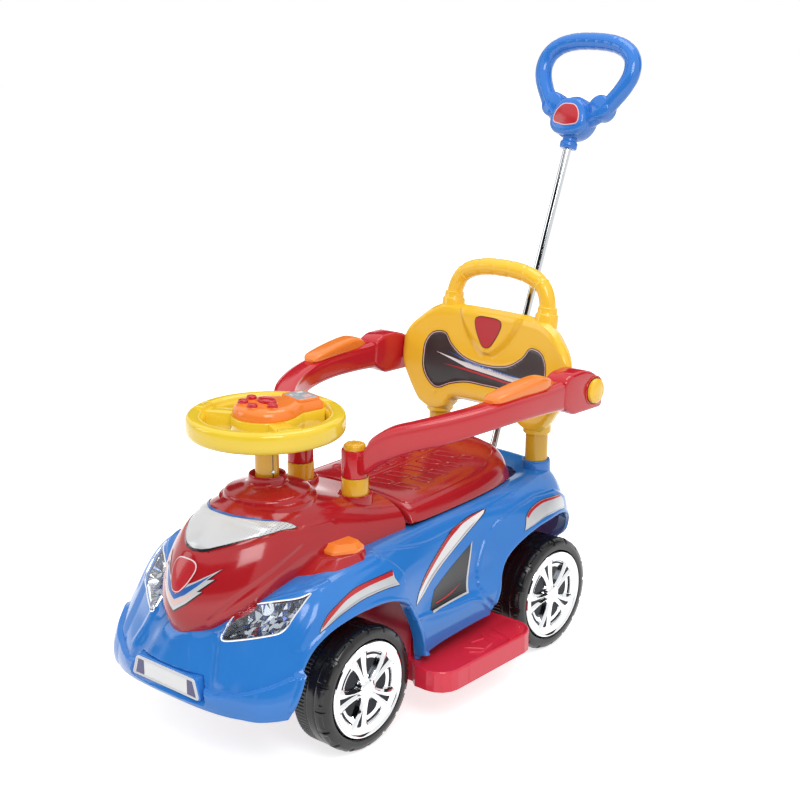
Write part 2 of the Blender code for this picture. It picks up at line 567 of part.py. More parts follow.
def build_knuckles():
    """The steered stubs, the rod that ties them, and the wheels' axles."""
    for side, tag in ((1, "l"), (-1, "r")):
        x = side * KINGPIN_X
        low, high = sorted((x - side * 0.0070, x + side * 0.0150))
        knuckle = box("knuckle_" + tag, (low, FRONT_Y - 0.0110, 0.0600), (high, FRONT_Y + 0.0110, 0.0880))
        join(knuckle, rod("kingpin", KINGPIN_R, (x, FRONT_Y, 0.0850), (x, FRONT_Y, 0.1180), steps=20, tool=True))
        join(knuckle, rod("stub_axle", AXLE_R, (x + side * 0.0100, FRONT_Y, AXLE_Z), (side * 0.1400, FRONT_Y, AXLE_Z), steps=20, tool=True))
        join(knuckle, box("steer_arm", (x - 0.0055, FRONT_Y + 0.0080, 0.0605), (x + 0.0055, FRONT_Y + ARM_BACK + 0.0050, 0.0667), tool=True))
        join(knuckle, rod("arm_pin", 0.0025, (x, FRONT_Y + ARM_BACK, 0.0640), (x, FRONT_Y + ARM_BACK, 0.0745), steps=12, tool=True))
    back = FRONT_Y + ARM_BACK
    tie = box("tie_rod", (-KINGPIN_X - 0.0080, back - 0.0070, 0.0670), (KINGPIN_X + 0.0080, back + 0.0070, 0.0720))
    join(tie, box("tie_tongue", (-0.0090, COLUMN_Y + CRANK - 0.0090, 0.0670), (0.0090, back, 0.0720), tool=True))
    for side in (1, -1):
        cut(tie, rod("tie_bore", 0.0040, (side * KINGPIN_X, back, 0.0600), (side * KINGPIN_X, back, 0.0800), steps=16, tool=True))
    cut(tie, box("tie_slot", (-0.0036, COLUMN_Y + CRANK - 0.0060, 0.0600), (0.0036, COLUMN_Y + CRANK + 0.0050, 0.0800), tool=True))
    rod("rear_axle", AXLE_R, (-0.1400, REAR_Y, AXLE_Z), (0.1400, REAR_Y, AXLE_Z), steps=20)


def build_wheels():
    """One moulded tyre and one five-spoke cover, repeated at the four corners."""
    bore = AXLE_R + RUN
    profile = [(bore, 0.1000), (0.0130, 0.1000), (0.0130, 0.1130), (0.0520, 0.1130), (0.0540, TYRE_IN_X), (0.0650, TYRE_IN_X), (TYRE_R, 0.1070), (TYRE_R, 0.1420), (0.0665, 0.1490), (0.0562, 0.1490), (0.0562, 0.1385), (0.0500, 0.1385), (0.0500, 0.1190), (0.0130, 0.1190), (0.0130, 0.1380), (bore, 0.1380)]
    cover_profile = [(0, 0.1403), (0.0555, 0.1390), (0.0555, 0.1495), (0.0500, 0.1495), (0.0455, 0.1425), (0.0150, 0.1425), (0.0135, 0.1490), (0, 0.1497)]
    for y, row in ((FRONT_Y, "f"), (REAR_Y, "r")):
        for side, tag in ((1, "l"), (-1, "r")):
            tyre = turned("tyre_" + row + tag, profile, (0, y, AXLE_Z), axis="X", closed=True, steps=28)
            cover = turned("wheel_cover_" + row + tag, cover_profile, (0, y, AXLE_Z), axis="X", steps=25)
            for k in range(5):
                a = 2 * math.pi * (k + 0.25) / 5
                spoke = from_lists("cover_spoke", [(x, w, r) for x, w, r in (
                    (0.1415, -0.0075, 0.0080), (0.1415, 0.0075, 0.0080), (0.1415, 0.0048, 0.0500), (0.1415, -0.0048, 0.0500),
                    (0.1475, -0.0045, 0.0080), (0.1475, 0.0045, 0.0080), (0.1480, 0.0028, 0.0510), (0.1480, -0.0028, 0.0510))],
                    [(0, 1, 2, 3), (7, 6, 5, 4), (0, 4, 5, 1), (1, 5, 6, 2), (2, 6, 7, 3), (3, 7, 4, 0)], tool=True)
                move(spoke, (0, y, AXLE_Z), (a, "X"))
                join(cover, spoke)
            freeze(cover)
            if side < 0:
                for item in (tyre, cover):
                    item.data.transform(Matrix.Translation((0, y, 0)) @ Matrix.Rotation(math.pi, 4, "Z") @ Matrix.Translation((0, -y, 0)))


ARM_PAD_PATH = [
    ((0.1435, 0.0400, 0.3530), 0.0075, 0.0020),
    ((0.1455, 0.0500, 0.3550), 0.0125, 0.0050),
    ((0.1490, 0.0850, 0.3580), 0.0135, 0.0075),
    ((0.1515, 0.1200, 0.3590), 0.0130, 0.0095),
    ((0.1520, 0.1360, 0.3580), 0.0110, 0.0070),
    ((0.1520, 0.1470, 0.3555), 0.0070, 0.0025),
]
RAIL_PATH = [
    ((0.0500, -0.0770, 0.2880), 0.0120, 0.0145),
    ((0.0585, -0.0755, 0.2900), 0.0125, 0.0135),
    ((0.0645, -0.0730, 0.3005), 0.0125, 0.0195),
    ((0.0850, -0.0620, 0.3160), 0.0130, 0.0180),
    ((0.1050, -0.0430, 0.3240), 0.0135, 0.0160),
    ((0.1240, -0.0150, 0.3290), 0.0140, 0.0160),
    ((0.1400, 0.0250, 0.3345), 0.0145, 0.0150),
    ((0.1490, 0.0750, 0.3380), 0.0150, 0.0155),
    ((0.1520, 0.1300, 0.3375), 0.0150, 0.0165),
    ((0.1520, 0.1680, 0.3365), 0.0150, 0.0180),
    ((0.1520, 0.1810, 0.3340), 0.0165, 0.0265),
    ((0.1520, 0.2360, 0.3330), 0.0165, 0.0280),
    ((0.1520, 0.2440, 0.3325), 0.0150, 0.0225),
]


def build_rails():
    stations = []
    for i, (centre, half_w, half_h) in enumerate(RAIL_PATH):
        before = Vector(RAIL_PATH[max(i - 1, 0)][0])
        after = Vector(RAIL_PATH[min(i + 1, len(RAIL_PATH) - 1)][0])
        along = (after - before)
        along.z = 0
        stations.append((centre, (along.y, -along.x, 0), half_w, half_h))
    rail = sweep("guard_rail_l", stations)
    x, y = FRONT_POST
    join(rail, turned("rail_collar", [(0, COLLAR_Z0), (COLLAR_R, COLLAR_Z0), (COLLAR_R, COLLAR_Z1), (0, COLLAR_Z1)], (x, y, 0), steps=24, tool=True))
    cut(rail, rod("rail_bore", SPIGOT_R + RUN, (x, y, 0.2600), (x, y, 0.3200), steps=24, tool=True))
    cut(rail, box("latch_pocket", (0.1300, 0.2000, 0.3180), (0.1500, 0.2360, 0.3460), tool=True))
    cut(rail, rod("button_pocket", 0.0128, (0.1600, LATCH_Y, LATCH_Z), (0.1800, LATCH_Y, LATCH_Z), steps=24, tool=True))
    freeze(rail)
    pad_stations = []
    for (px, py, pz), half_w, half_h in ARM_PAD_PATH:
        pad_stations.append(((px, py, pz), (1, -0.06, 0), half_w, half_h))
    pad = sweep("arm_pad_l", pad_stations)
    cut(pad, offset_rail(rail))
    freeze(pad)
    cap = turned("rail_cap_l", [(0, COLLAR_Z1 + GAP), (0.0130, COLLAR_Z1 + GAP), (0.0130, COLLAR_Z1 + 0.0050), (0.0110, COLLAR_Z1 + 0.0070), (0, COLLAR_Z1 + 0.0075)], (x, y, 0), steps=20)
    low = 0.1600 + BUTTON_TRAVEL + GAP
    latch = turned("latch_button_l", [(0, low), (0.0124, low), (0.0124, 0.1715), (0.0112, 0.1735), (0, 0.1745)], (0, LATCH_Y, LATCH_Z), axis="X", steps=24)
    twin(rail, "guard_rail_r")
    twin(pad, "arm_pad_r")
    twin(cap, "rail_cap_r")
    twin(latch, "latch_button_r")
    for side, tag in ((1, "l"), (-1, "r")):
        post = [(0, 0.2383), (FRONT_POST_R, 0.2383), (FRONT_POST_R, COLLAR_Z0 - 0.0006), (SPIGOT_R, COLLAR_Z0 - 0.0005), (SPIGOT_R, COLLAR_Z1 - 0.0002), (0, COLLAR_Z1 - 0.0001)]
        turned("front_post_" + tag, post, (side * x, y, 0), steps=24)


def offset_rail(rail):
    bm = baked(rail)
    for v in bm.verts:
        v.co += v.normal * 0.0005
    return new_object("rail_clear", bm, True)


# Stations of the backrest from the middle to the side: x, lower edge, upper edge
BACK_STATIONS = [(0.0, 0.0110, 0.1375), (0.0250, 0.0110, 0.1375), (0.0430, 0.0105, 0.1372), (0.0540, 0.0060, 0.1370), (0.0620, -0.0060, 0.1362), (0.0800, -0.0100, 0.1345), (0.0970, -0.0030, 0.1260), (0.1090, 0.0130, 0.1150), (0.1200, 0.0330, 0.1020), (0.1300, 0.0540, 0.0860)]
HANDLE_HALF = [(0.0755, 0.1250), (0.0755, 0.1420), (0.0735, 0.1580), (0.0670, 0.1720), (0.0560, 0.1810), (0.0400, 0.1870), (0.0200, 0.1902), (0.0, 0.1908)]


def build_back():
    x, y = REAR_POST
    stations = [(-a, b, c) for a, b, c in BACK_STATIONS[:0:-1]] + BACK_STATIONS
    verts = []
    for a, low, high in stations:
        wrap = -BACK_WRAP * (a / 0.130) ** 2
        thick = BACK_HALF * (1.0 - 0.35 * (a / 0.130) ** 2)
        verts += [(a, wrap - thick, low), (a, wrap + thick, low), (a, wrap + thick, high), (a, wrap - thick, high)]
    faces = [(3, 2, 1, 0)]
    for i in range(len(stations) - 1):
        for j in range(4):
            k = (j + 1) % 4
            faces.append((4 * i + j, 4 * i + k, 4 * i + 4 + k, 4 * i + 4 + j))
    last = 4 * (len(stations) - 1)
    faces.append((last, last + 1, last + 2, last + 3))
    back = from_lists("backrest", verts, faces)
    bevel(back, 0.0065, 2)
    freeze(back)
    path = HANDLE_HALF + [(-a, b) for a, b in HANDLE_HALF[-2::-1]]
    handle = tube("back_handle", [(a, 0.0, b) for a, b in path], 0.0112, 8, tool=True)
    join(back, handle)
    for side in (1, -1):
        join(back, turned("handle_collar", [(0, 0.1320), (0.0150, 0.1320), (0.0145, 0.1440), (0, 0.1440)], (side * 0.0755, 0, 0), steps=16, tool=True))
    freeze(back)
    move(back, (0, y, BACK_Z), (-BACK_LEAN, "X"))
    for side in (1, -1):
        join(back, turned("post_cup", [(0, 0.2620), (0.0180, 0.2620), (0.0180, 0.2860), (0, 0.2860)], (side * x, y, 0), steps=20, tool=True))
        low, high = sorted((side * 0.1080, side * 0.1430))
        join(back, box("latch_lug", (low, 0.2140, 0.3240), (high, 0.2260, 0.3400), tool=True))
    for side in (1, -1):
        cut(back, rod("cup_bore", REAR_POST_R + GAP, (side * x, y, 0.2500), (side * x, y, 0.2780), steps=20, tool=True))
    freeze(back)
    for side, tag in ((1, "l"), (-1, "r")):
        rod("rear_post_" + tag, REAR_POST_R, (side * x, y, 0.1940), (side * x, y, 0.2775), steps=20)
    badge = prism("back_badge", [(0.0, 0.0860), (0.0170, 0.1180), (0.0170, 0.1240), (0.0130, 0.1270), (-0.0130, 0.1270), (-0.0170, 0.1240), (-0.0170, 0.1180)], "Y", -0.0178, -0.0158)
    move(badge, (0, y, BACK_Z), (-BACK_LEAN, "X"))


def tube(name, path, radius, sides, closed=False, tool=False):
    """A round bar along a path of points."""
    points = [Vector(p) for p in path]
    count = len(points)
    bm = bmesh.new()
    rings = []
    for i, p in enumerate(points):
        if closed:
            along = points[(i + 1) % count] - points[i - 1]
        else:
            along = points[min(i + 1, count - 1)] - points[max(i - 1, 0)]
        frame = along.to_track_quat("Z", "Y").to_matrix()
        side = Vector((0.0, 1.0, 0.0))
        side = (side - along.normalized() * side.dot(along.normalized())).normalized()
        other = along.normalized().cross(side)
        rings.append([bm.verts.new(p + radius * (math.cos(2 * math.pi * j / sides) * side + math.sin(2 * math.pi * j / sides) * other)) for j in range(sides)])
    spans = count if closed else count - 1
    for i in range(spans):
        a, b = rings[i], rings[(i + 1) % count]
        for j in range(sides):
            k = (j + 1) % sides
            bm.faces.new((a[j], a[k], b[k], b[j]))
    if not closed:
        bm.faces.new(rings[0])
        bm.faces.new(rings[-1])
    return new_object(name, bm, tool)


def on_pole(item):
    """Tilts a piece drawn upright about the hub's middle onto the push pole."""
    hub = pole_at(HUB_ALONG)
    item.data.transform(Matrix.Translation(hub) @ Matrix.Rotation(-POLE_TILT, 4, "X"))
    return item


HANDLE_PATH = [(0.0, 0.1060), (0.0300, 0.1040), (0.0520, 0.0970), (0.0660, 0.0840), (0.0700, 0.0660), (0.0650, 0.0480), (0.0540, 0.0300), (0.0400, 0.0120), (0.0200, -0.0020), (0.0, -0.0060)]


def build_pole():
    rod("push_pole", POLE_R, POLE_FOOT, pole_at(HUB_ALONG - 0.0170), steps=20)
    path = HANDLE_PATH + [(-a, b) for a, b in HANDLE_PATH[-2:0:-1]]
    handle = tube("push_handle", [(a, 0.0, b) for a, b in path], 0.0115, 10, closed=True)
    for side in (1, -1):
        lobe = turned("hub_lobe", [(0, -0.0110), (0.0140, -0.0110), (0.0170, -0.0070), (0.0170, 0.0100), (0.0140, 0.0140), (0, 0.0140)], (side * 0.0375, 0, 0.0160), axis="Y", steps=18, tool=True)
        join(handle, lobe)
    join(handle, turned("hub_back", [(0, -0.0100), (0.0270, -0.0100), (0.0290, -0.0070), (0.0290, 0.0110), (0.0255, 0.0155), (0, 0.0155)], (0, 0, -0.0010), axis="Y", steps=22, tool=True))
    join(handle, turned("hub_neck", [(0, -0.0420), (0.0110, -0.0420), (0.0118, -0.0400), (0.0118, -0.0340), (0.0100, -0.0320), (0.0100, -0.0200), (0, -0.0200)], steps=20, tool=True))
    cut(handle, rod("pole_bore", POLE_R + GAP, (0, 0, -0.0600), (0, 0, -0.0165), steps=20, tool=True))
    freeze(handle)
    on_pole(handle)
    face = prism("hub_cover", [(-0.0270, -0.0160), (-0.0190, -0.0245), (0.0000, -0.0275), (0.0190, -0.0245), (0.0270, -0.0160), (0.0280, -0.0020), (0.0225, 0.0140), (0.0120, 0.0235), (-0.0120, 0.0235), (-0.0225, 0.0140), (-0.0280, -0.0020)], "Y", -0.0215, -0.0118)
    bevel(face, 0.0045, 2)
    freeze(face)
    cut(face, prism("badge_recess", [(-0.0185, -0.0110), (0.0, -0.0135), (0.0185, -0.0110), (0.0170, 0.0020), (0.0090, 0.0130), (-0.0090, 0.0130), (-0.0170, 0.0020)], "Y", -0.0300, -0.0200, tool=True))
    freeze(face)
    on_pole(face)
    badge = prism("hub_badge", [(-0.0180, -0.0107), (0.0, -0.0132), (0.0180, -0.0107), (0.0166, 0.0018), (0.0087, 0.0126), (-0.0087, 0.0126), (-0.0166, 0.0018)], "Y", -0.0212, -0.0203)
    on_pole(badge)


def build_chassis():
    """The red base: tread plates each side, storage tub under the seat, and the front cross member with its pivots."""
    corner = 0.026
    outline = []
    for cx, cy, start in ((STEP_HALF - corner, -0.0940 + corner, -90), (STEP_HALF - corner, 0.0840 - corner, 0), (-STEP_HALF + corner, 0.0840 - corner, 90), (-STEP_HALF + corner, -0.0940 + corner, 180)):
        for k in range(5):
            a = math.radians(start + k * 22.5)
            outline.append((cx + corner * math.cos(a), cy + corner * math.sin(a)))
    # The front edge steps back behind the tyres, to leave room for them at full lock
    outline += [(-0.1470, -0.0940), (-0.1370, SWING_Y), (0.1370, SWING_Y), (0.1470, -0.0940)]
    base = prism("chassis", outline, "Z", 0.0460, 0.0690)
    inner = [(a * (STEP_HALF - 0.0035) / STEP_HALF, -0.0050 + (b + 0.0050) * (0.0855 / 0.0890)) for a, b in outline]
    cut(base, prism("plate_hollow", inner, "Z", 0.0400, 0.0655, tool=True))
    for side in (1, -1):
        low, high = sorted((side * 0.1560, side * (STEP_HALF - 0.0035)))
        cut(base, box("tread_recess", (low, -0.0800, 0.0680), (high, 0.0690, 0.0800), tool=True))
    join(base, box("bulkhead", (-0.1260, -0.0790, 0.0640), (0.1260, -0.0755, 0.1700), tool=True))
    join(base, box("spine", (-0.0450, -0.1950, 0.1170), (0.0450, -0.0770, 0.1290), tool=True))
    join(base, box("cross_member", (-0.0890, FRONT_Y - 0.0130, 0.1170), (0.0890, FRONT_Y + 0.0130, 0.1290), tool=True))
    for side in (1, -1):
        join(base, rod("pivot_boss", 0.0105, (side * KINGPIN_X, FRONT_Y, 0.0883), (side * KINGPIN_X, FRONT_Y, 0.1200), steps=20, tool=True))
    join(base, box("tub_body", (-TUB_HALF, TUB_FRONT, 0.0640), (TUB_HALF, TUB_BACK, TUB_TOP), tool=True))
    join(base, box("tub_flange", (-0.0930, TUB_FRONT + 0.0100, TUB_TOP - 0.0016), (0.0930, 0.1500, TUB_TOP + 0.0006), tool=True))
    for side in (1, -1):
        low, high = sorted((side * 0.0245, side * 0.0290))
        join(base, box("hinge_ear", (low, TUB_BACK - 0.0045, TUB_TOP - 0.0150), (high, HINGE_Y + 0.0030, HINGE_Z + 0.0040), tool=True))
    join(base, box("pole_socket", (-0.0130, TUB_BACK - 0.0080, POLE_FOOT.z - 0.0100), (0.0130, POLE_FOOT.y + 0.0220, POLE_FOOT.z + 0.0280), tool=True))
    join(base, box("axle_block", (-0.0900, REAR_Y - 0.0170, 0.0560), (0.0900, REAR_Y + 0.0170, 0.0900), tool=True))
    cut(base, box("tub_hollow", (-TUB_HALF + 0.0035, TUB_FRONT + 0.0035, 0.0900), (TUB_HALF - 0.0035, TUB_BACK - 0.0035, 0.2300), tool=True))
    cut(base, rod("pole_socket_bore", POLE_R + GAP, pole_at(-GAP), pole_at(0.0600), tool=True))
    cut(base, rod("rear_axle_bore", AXLE_R + RUN, (-0.1000, REAR_Y, AXLE_Z), (0.1000, REAR_Y, AXLE_Z), steps=20, tool=True))
    cut(base, rod("lid_pin_seat", HINGE_R + RUN, (-0.0350, HINGE_Y, HINGE_Z), (0.0350, HINGE_Y, HINGE_Z), steps=16, tool=True))
    for side in (1, -1):
        cut(base, rod("pivot_bore", KINGPIN_R + RUN, (side * KINGPIN_X, FRONT_Y, 0.0800), (side * KINGPIN_X, FRONT_Y, 0.1200), steps=20, tool=True))
    cut(base, rod("steering_bore", 0.0040 + RUN, (0, COLUMN_Y, 0.1000), (0, COLUMN_Y, 0.1500), steps=16, tool=True))


def centre_on_origin():
    """Moves the car and its cutters so that the middle of its length is at y = 0."""
    ends = []
    for item in PARTS.objects:
        bm = baked(item)
        ends += [v.co.y for v in bm.verts]
        bm.free()
    shift = round((min(ends) + max(ends)) / 2, 4)
    for item in list(PARTS.objects) + list(TOOLS.objects):
        item.location.y -= shift
    bpy.context.view_layer.update()


def main():
    sheet = body_sheet("body_sheet", tool=True)
    sheet_out = offset_solid(sheet, "body_outside_clear", 0.0004)
    build_body()
    build_plate()
    build_bonnet(sheet_out)
    build_seat()
    build_lamps()
    build_headlights(sheet)
    build_steering()
    build_knuckles()
    build_wheels()
    build_rails()
    build_back()
    build_pole()
    build_chassis()
    rod("lid_pin", HINGE_R, (-0.0300, HINGE_Y, HINGE_Z), (0.0300, HINGE_Y, HINGE_Z), steps=16)
    centre_on_origin()


main()
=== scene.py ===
"""Dressed model of a ride-on push car: fine meshes, finishes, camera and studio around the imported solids."""

import logging
import math
import random
from dataclasses import dataclass, field
from enum import Enum
from typing import Callable, Sequence

import bmesh
import bpy
import numpy as np
from mathutils import Matrix, Vector
from mathutils.bvhtree import BVHTree
from mathutils.geometry import delaunay_2d_cdt


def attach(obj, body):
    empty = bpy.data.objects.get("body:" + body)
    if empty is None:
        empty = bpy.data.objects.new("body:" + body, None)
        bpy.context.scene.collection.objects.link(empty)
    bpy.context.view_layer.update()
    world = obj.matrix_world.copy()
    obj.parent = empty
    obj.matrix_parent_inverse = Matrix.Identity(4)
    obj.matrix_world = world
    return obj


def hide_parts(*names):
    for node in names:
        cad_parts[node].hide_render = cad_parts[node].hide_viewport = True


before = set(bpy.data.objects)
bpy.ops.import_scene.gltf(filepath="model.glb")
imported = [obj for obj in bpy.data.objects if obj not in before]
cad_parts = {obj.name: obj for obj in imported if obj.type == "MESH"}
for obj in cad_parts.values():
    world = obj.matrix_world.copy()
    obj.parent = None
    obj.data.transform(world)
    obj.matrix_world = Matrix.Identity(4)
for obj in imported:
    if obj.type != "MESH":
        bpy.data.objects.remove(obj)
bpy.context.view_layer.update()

LOG = logging.getLogger("push_car")

Flat = tuple[float, float]
Solid3 = tuple[float, float, float]
Pieces = list[bpy.types.Object]

# Sizes are in metres from the middle of the wheelbase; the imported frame's origin lies this far behind it
MIDWAY = 0.0609
WHEELBASE = 0.3472
FRONT_Y = -WHEELBASE / 2
REAR_Y = WHEELBASE / 2
AXLE_Z = 0.072
COLUMN_Y = -0.176
WHEEL_TURN = math.radians(-12.0)
FRONT_POST = (0.0436, -0.079)
REAR_POST = (0.0802, 0.2252)
BACK_LEAN = math.radians(9.0)
BACK_Z = 0.27
POLE_FOOT = Vector((0.0, 0.201, 0.12))
POLE_TILT = math.atan(0.3966)
POLE_UP = Vector((0.0, math.sin(POLE_TILT), math.cos(POLE_TILT)))
HUB_ALONG = 0.557
POLE_R = 0.0063
LATCH_Y = 0.223
LATCH_Z = 0.331
COLLAR_Z0 = 0.2718
COLLAR_Z1 = 0.3045


class Slot(Enum):
    """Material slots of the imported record."""

    BLUE = "blue_shell"
    RED = "red_plastic"
    YELLOW = "yellow_plastic"
    ORANGE = "orange_plastic"
    GRIP = "blue_grip"
    PLATE = "white_plate"
    LENS = "clear_lens"
    REFLECTOR = "lamp_chrome"
    COVER = "chrome_cover"
    TYRE = "black_tyre"
    BADGE = "red_badge"
    BUTTON = "red_button"
    SCREEN = "grey_screen"
    TUBE = "bright_tube"
    AXLE = "axle_steel"
    BLACK = "black_plastic"


class Side(Enum):
    """The two sides of the car, as the sign of x."""

    LEFT = 1
    RIGHT = -1

    @property
    def tag(self) -> str:
        """The letter that ends the names of this side's nodes."""
        return "l" if self is Side.LEFT else "r"


def linear(code: str) -> tuple[float, float, float, float]:
    """Turns an sRGB hex colour into linear values.

    Args:
        code: six hex digits after a hash sign.

    Returns:
        Red, green, blue and an alpha of one.
    """
    parts = [int(code[i : i + 2], 16) / 255 for i in (1, 3, 5)]
    red, green, blue = (c / 12.92 if c <= 0.04045 else ((c + 0.055) / 1.055) ** 2.4 for c in parts)
    return red, green, blue, 1.0


def add_node(
        tree: bpy.types.NodeTree, kind: str, settings: dict[str, object] | None = None,
        **inputs: object) -> bpy.types.Node:
    """Adds a node, with its settings, socket values and links.

    Args:
        tree: the node tree that it goes into.
        kind: the node's type name, after the words ShaderNode.
        settings: properties of the node itself.
        inputs: sockets by name, underscores for spaces, or by place as in_0; a socket as value makes a link.

    Returns:
        The new node.
    """
    made = tree.nodes.new("ShaderNode" + kind)
    for key, value in (settings or {}).items():
        setattr(made, key, value)
    for key, value in inputs.items():
        socket = made.inputs[int(key[3:])] if key.startswith("in_") else made.inputs[key.replace("_", " ")]
        if isinstance(value, bpy.types.NodeSocket):
            tree.links.new(value, socket)
        else:
            socket.default_value = value
    return made


@dataclass(frozen=True)
class Finish:
    """What every finish shares: a name and a material made once."""

    name: str

    def material(self) -> bpy.types.Material:
        """The finish's material, made at its first use."""
        known = bpy.data.materials.get(self.name)
        if known:
            return known
        made = bpy.data.materials.new(self.name)
        made.use_nodes = True
        tree = made.node_tree
        tree.nodes.clear()
        add_node(tree, "OutputMaterial", Surface=self.surface(tree))
        return made

    def surface(self, tree: bpy.types.NodeTree) -> bpy.types.NodeSocket:
        """The shader of this kind of surface."""
        raise NotImplementedError


@dataclass(frozen=True)
class MouldedPlastic(Finish):
    """Injection-moulded polypropylene from a polished steel tool."""

    colour: str = "#808080"
    flow: str = "#7A7A7A"
    roughness: float = 0.11
    ior: float = 1.49
    # Sink and flow marks are some 45 mm across and a tenth of a millimetre deep
    flow_mm: float = 45.0
    flow_depth_mm: float = 0.1
    scuff: float = 0.05

    def surface(self, tree: bpy.types.NodeTree) -> bpy.types.NodeSocket:
        """Coloured plastic whose gloss and tint drift a little with the flow of the melt.

        Args:
            tree: the material's node tree.

        Returns:
            The shader's socket.
        """
        spot = add_node(tree, "TexCoord").outputs["Object"]
        flow = add_node(tree, "TexNoise", Vector=spot, Scale=1000 / self.flow_mm, Detail=1.0)
        tint = add_node(
            tree, "Mix", {"data_type": "RGBA"}, Factor=flow.outputs["Fac"], in_6=linear(self.colour),
            in_7=linear(self.flow))
        wear = add_node(tree, "TexNoise", Vector=spot, Scale=1000 / 6.0, Detail=5.0, Roughness=0.65)
        gloss = add_node(
            tree, "MapRange", Value=wear.outputs["Fac"], From_Min=0.35, From_Max=0.75, To_Min=self.roughness,
            To_Max=self.roughness + self.scuff)
        bump = add_node(
            tree, "Bump", Strength=1.0, Distance=self.flow_depth_mm / 1000, Height=flow.outputs["Fac"])
        shader = add_node(
            tree, "BsdfPrincipled", Base_Color=tint.outputs[2], Roughness=gloss.outputs["Result"],
            IOR=self.ior, Normal=bump.outputs["Normal"])
        return shader.outputs["BSDF"]


@dataclass(frozen=True)
class Metallised(Finish):
    """Vacuum-metallised plastic or chromed steel."""

    colour: str = "#EDEFF1"
    roughness: float = 0.06
    wave_mm: float = 18.0
    wave_depth_mm: float = 0.03

    def surface(self, tree: bpy.types.NodeTree) -> bpy.types.NodeSocket:
        """A mirror that sags a little, as plating over moulded plastic does.

        Args:
            tree: the material's node tree.

        Returns:
            The shader's socket.
        """
        spot = add_node(tree, "TexCoord").outputs["Object"]
        wave = add_node(tree, "TexNoise", Vector=spot, Scale=1000 / self.wave_mm, Detail=1.0)
        dust = add_node(tree, "TexNoise", Vector=spot, Scale=1000 / 3.0, Detail=4.0)
        gloss = add_node(
            tree, "MapRange", Value=dust.outputs["Fac"], From_Min=0.4, From_Max=0.8, To_Min=self.roughness,
            To_Max=self.roughness + 0.08)
        bump = add_node(
            tree, "Bump", Strength=0.5, Distance=self.wave_depth_mm / 1000, Height=wave.outputs["Fac"])
        shader = add_node(
            tree, "BsdfPrincipled", Base_Color=linear(self.colour), Metallic=1.0,
            Roughness=gloss.outputs["Result"], Normal=bump.outputs["Normal"])
        return shader.outputs["BSDF"]


@dataclass(frozen=True)
class ClearPlastic(Finish):
    """Clear polystyrene lens, moulded smooth."""

    ior: float = 1.49

    def surface(self, tree: bpy.types.NodeTree) -> bpy.types.NodeSocket:
        """Clear, with a thin gloss; light for shadows passes straight through.

        Args:
            tree: the material's node tree.

        Returns:
            The shader's socket.
        """
        spot = add_node(tree, "TexCoord").outputs["Object"]
        haze = add_node(tree, "TexNoise", Vector=spot, Scale=1000 / 9.0, Detail=2.0)
        gloss = add_node(tree, "MapRange", Value=haze.outputs["Fac"], To_Min=0.01, To_Max=0.05)
        glass = add_node(
            tree, "BsdfPrincipled", Base_Color=linear("#F6F9FC"), Roughness=gloss.outputs["Result"],
            IOR=self.ior, Transmission_Weight=1.0)
        through = add_node(tree, "BsdfTransparent")
        light = add_node(tree, "LightPath")
        shader = add_node(
            tree, "MixShader", in_0=light.outputs["Is Shadow Ray"], in_1=glass.outputs["BSDF"],
            in_2=through.outputs["BSDF"])
        return shader.outputs["Shader"]


@dataclass(frozen=True)
class PrintedVinyl(Finish):
    """Self-adhesive vinyl with a printed colour under a clear film."""

    colour: str = "#D8D9DB"
    second: str = "#C4C6C9"
    metallic: float = 0.0
    roughness: float = 0.3
    # Pitch of the printed dots, and their radius as a share of it; no dots at nought
    dot_mm: float = 0.0
    dot_colour: str = "#3A3C40"
    dot_share: float = 0.3
    # The dots fade in over this stretch of the sticker's own length, in mm
    dots_from: float = -1.0e4
    dots_full: float = -0.9e4

    def surface(self, tree: bpy.types.NodeTree) -> bpy.types.NodeSocket:
        """Print with a slow drift between two inks, and a screen of dots where it has one.

        Args:
            tree: the material's node tree.

        Returns:
            The shader's socket.
        """
        flat = add_node(tree, "UVMap", {"uv_map": "flat_mm"}).outputs["UV"]
        spot = add_node(tree, "TexCoord").outputs["Object"]
        drift = add_node(tree, "TexNoise", Vector=spot, Scale=1000 / 30.0, Detail=2.0)
        colour = add_node(
            tree, "Mix", {"data_type": "RGBA"}, Factor=drift.outputs["Fac"], in_6=linear(self.colour),
            in_7=linear(self.second)).outputs[2]
        if self.dot_mm:
            pitch = add_node(tree, "VectorMath", {"operation": "SCALE"}, in_0=flat, Scale=1 / self.dot_mm)
            cell = add_node(tree, "VectorMath", {"operation": "FRACTION"}, in_0=pitch.outputs[0])
            middle = add_node(
                tree, "VectorMath", {"operation": "DISTANCE"}, in_0=cell.outputs[0], in_1=(0.5, 0.5, 0.0))
            along = add_node(tree, "SeparateXYZ", Vector=flat)
            grow = add_node(
                tree, "MapRange", Value=along.outputs["X"], From_Min=self.dots_from, From_Max=self.dots_full,
                To_Min=0.0, To_Max=self.dot_share)
            inside = add_node(
                tree, "Math", {"operation": "LESS_THAN"}, in_0=middle.outputs["Value"],
                in_1=grow.outputs["Result"])
            colour = add_node(
                tree, "Mix", {"data_type": "RGBA"}, Factor=inside.outputs[0], in_6=colour,
                in_7=linear(self.dot_colour)).outputs[2]
        shader = add_node(
            tree, "BsdfPrincipled", Base_Color=colour, Metallic=self.metallic, Roughness=self.roughness,
            IOR=1.5, Coat_Weight=0.4, Coat_Roughness=0.12)
        return shader.outputs["BSDF"]


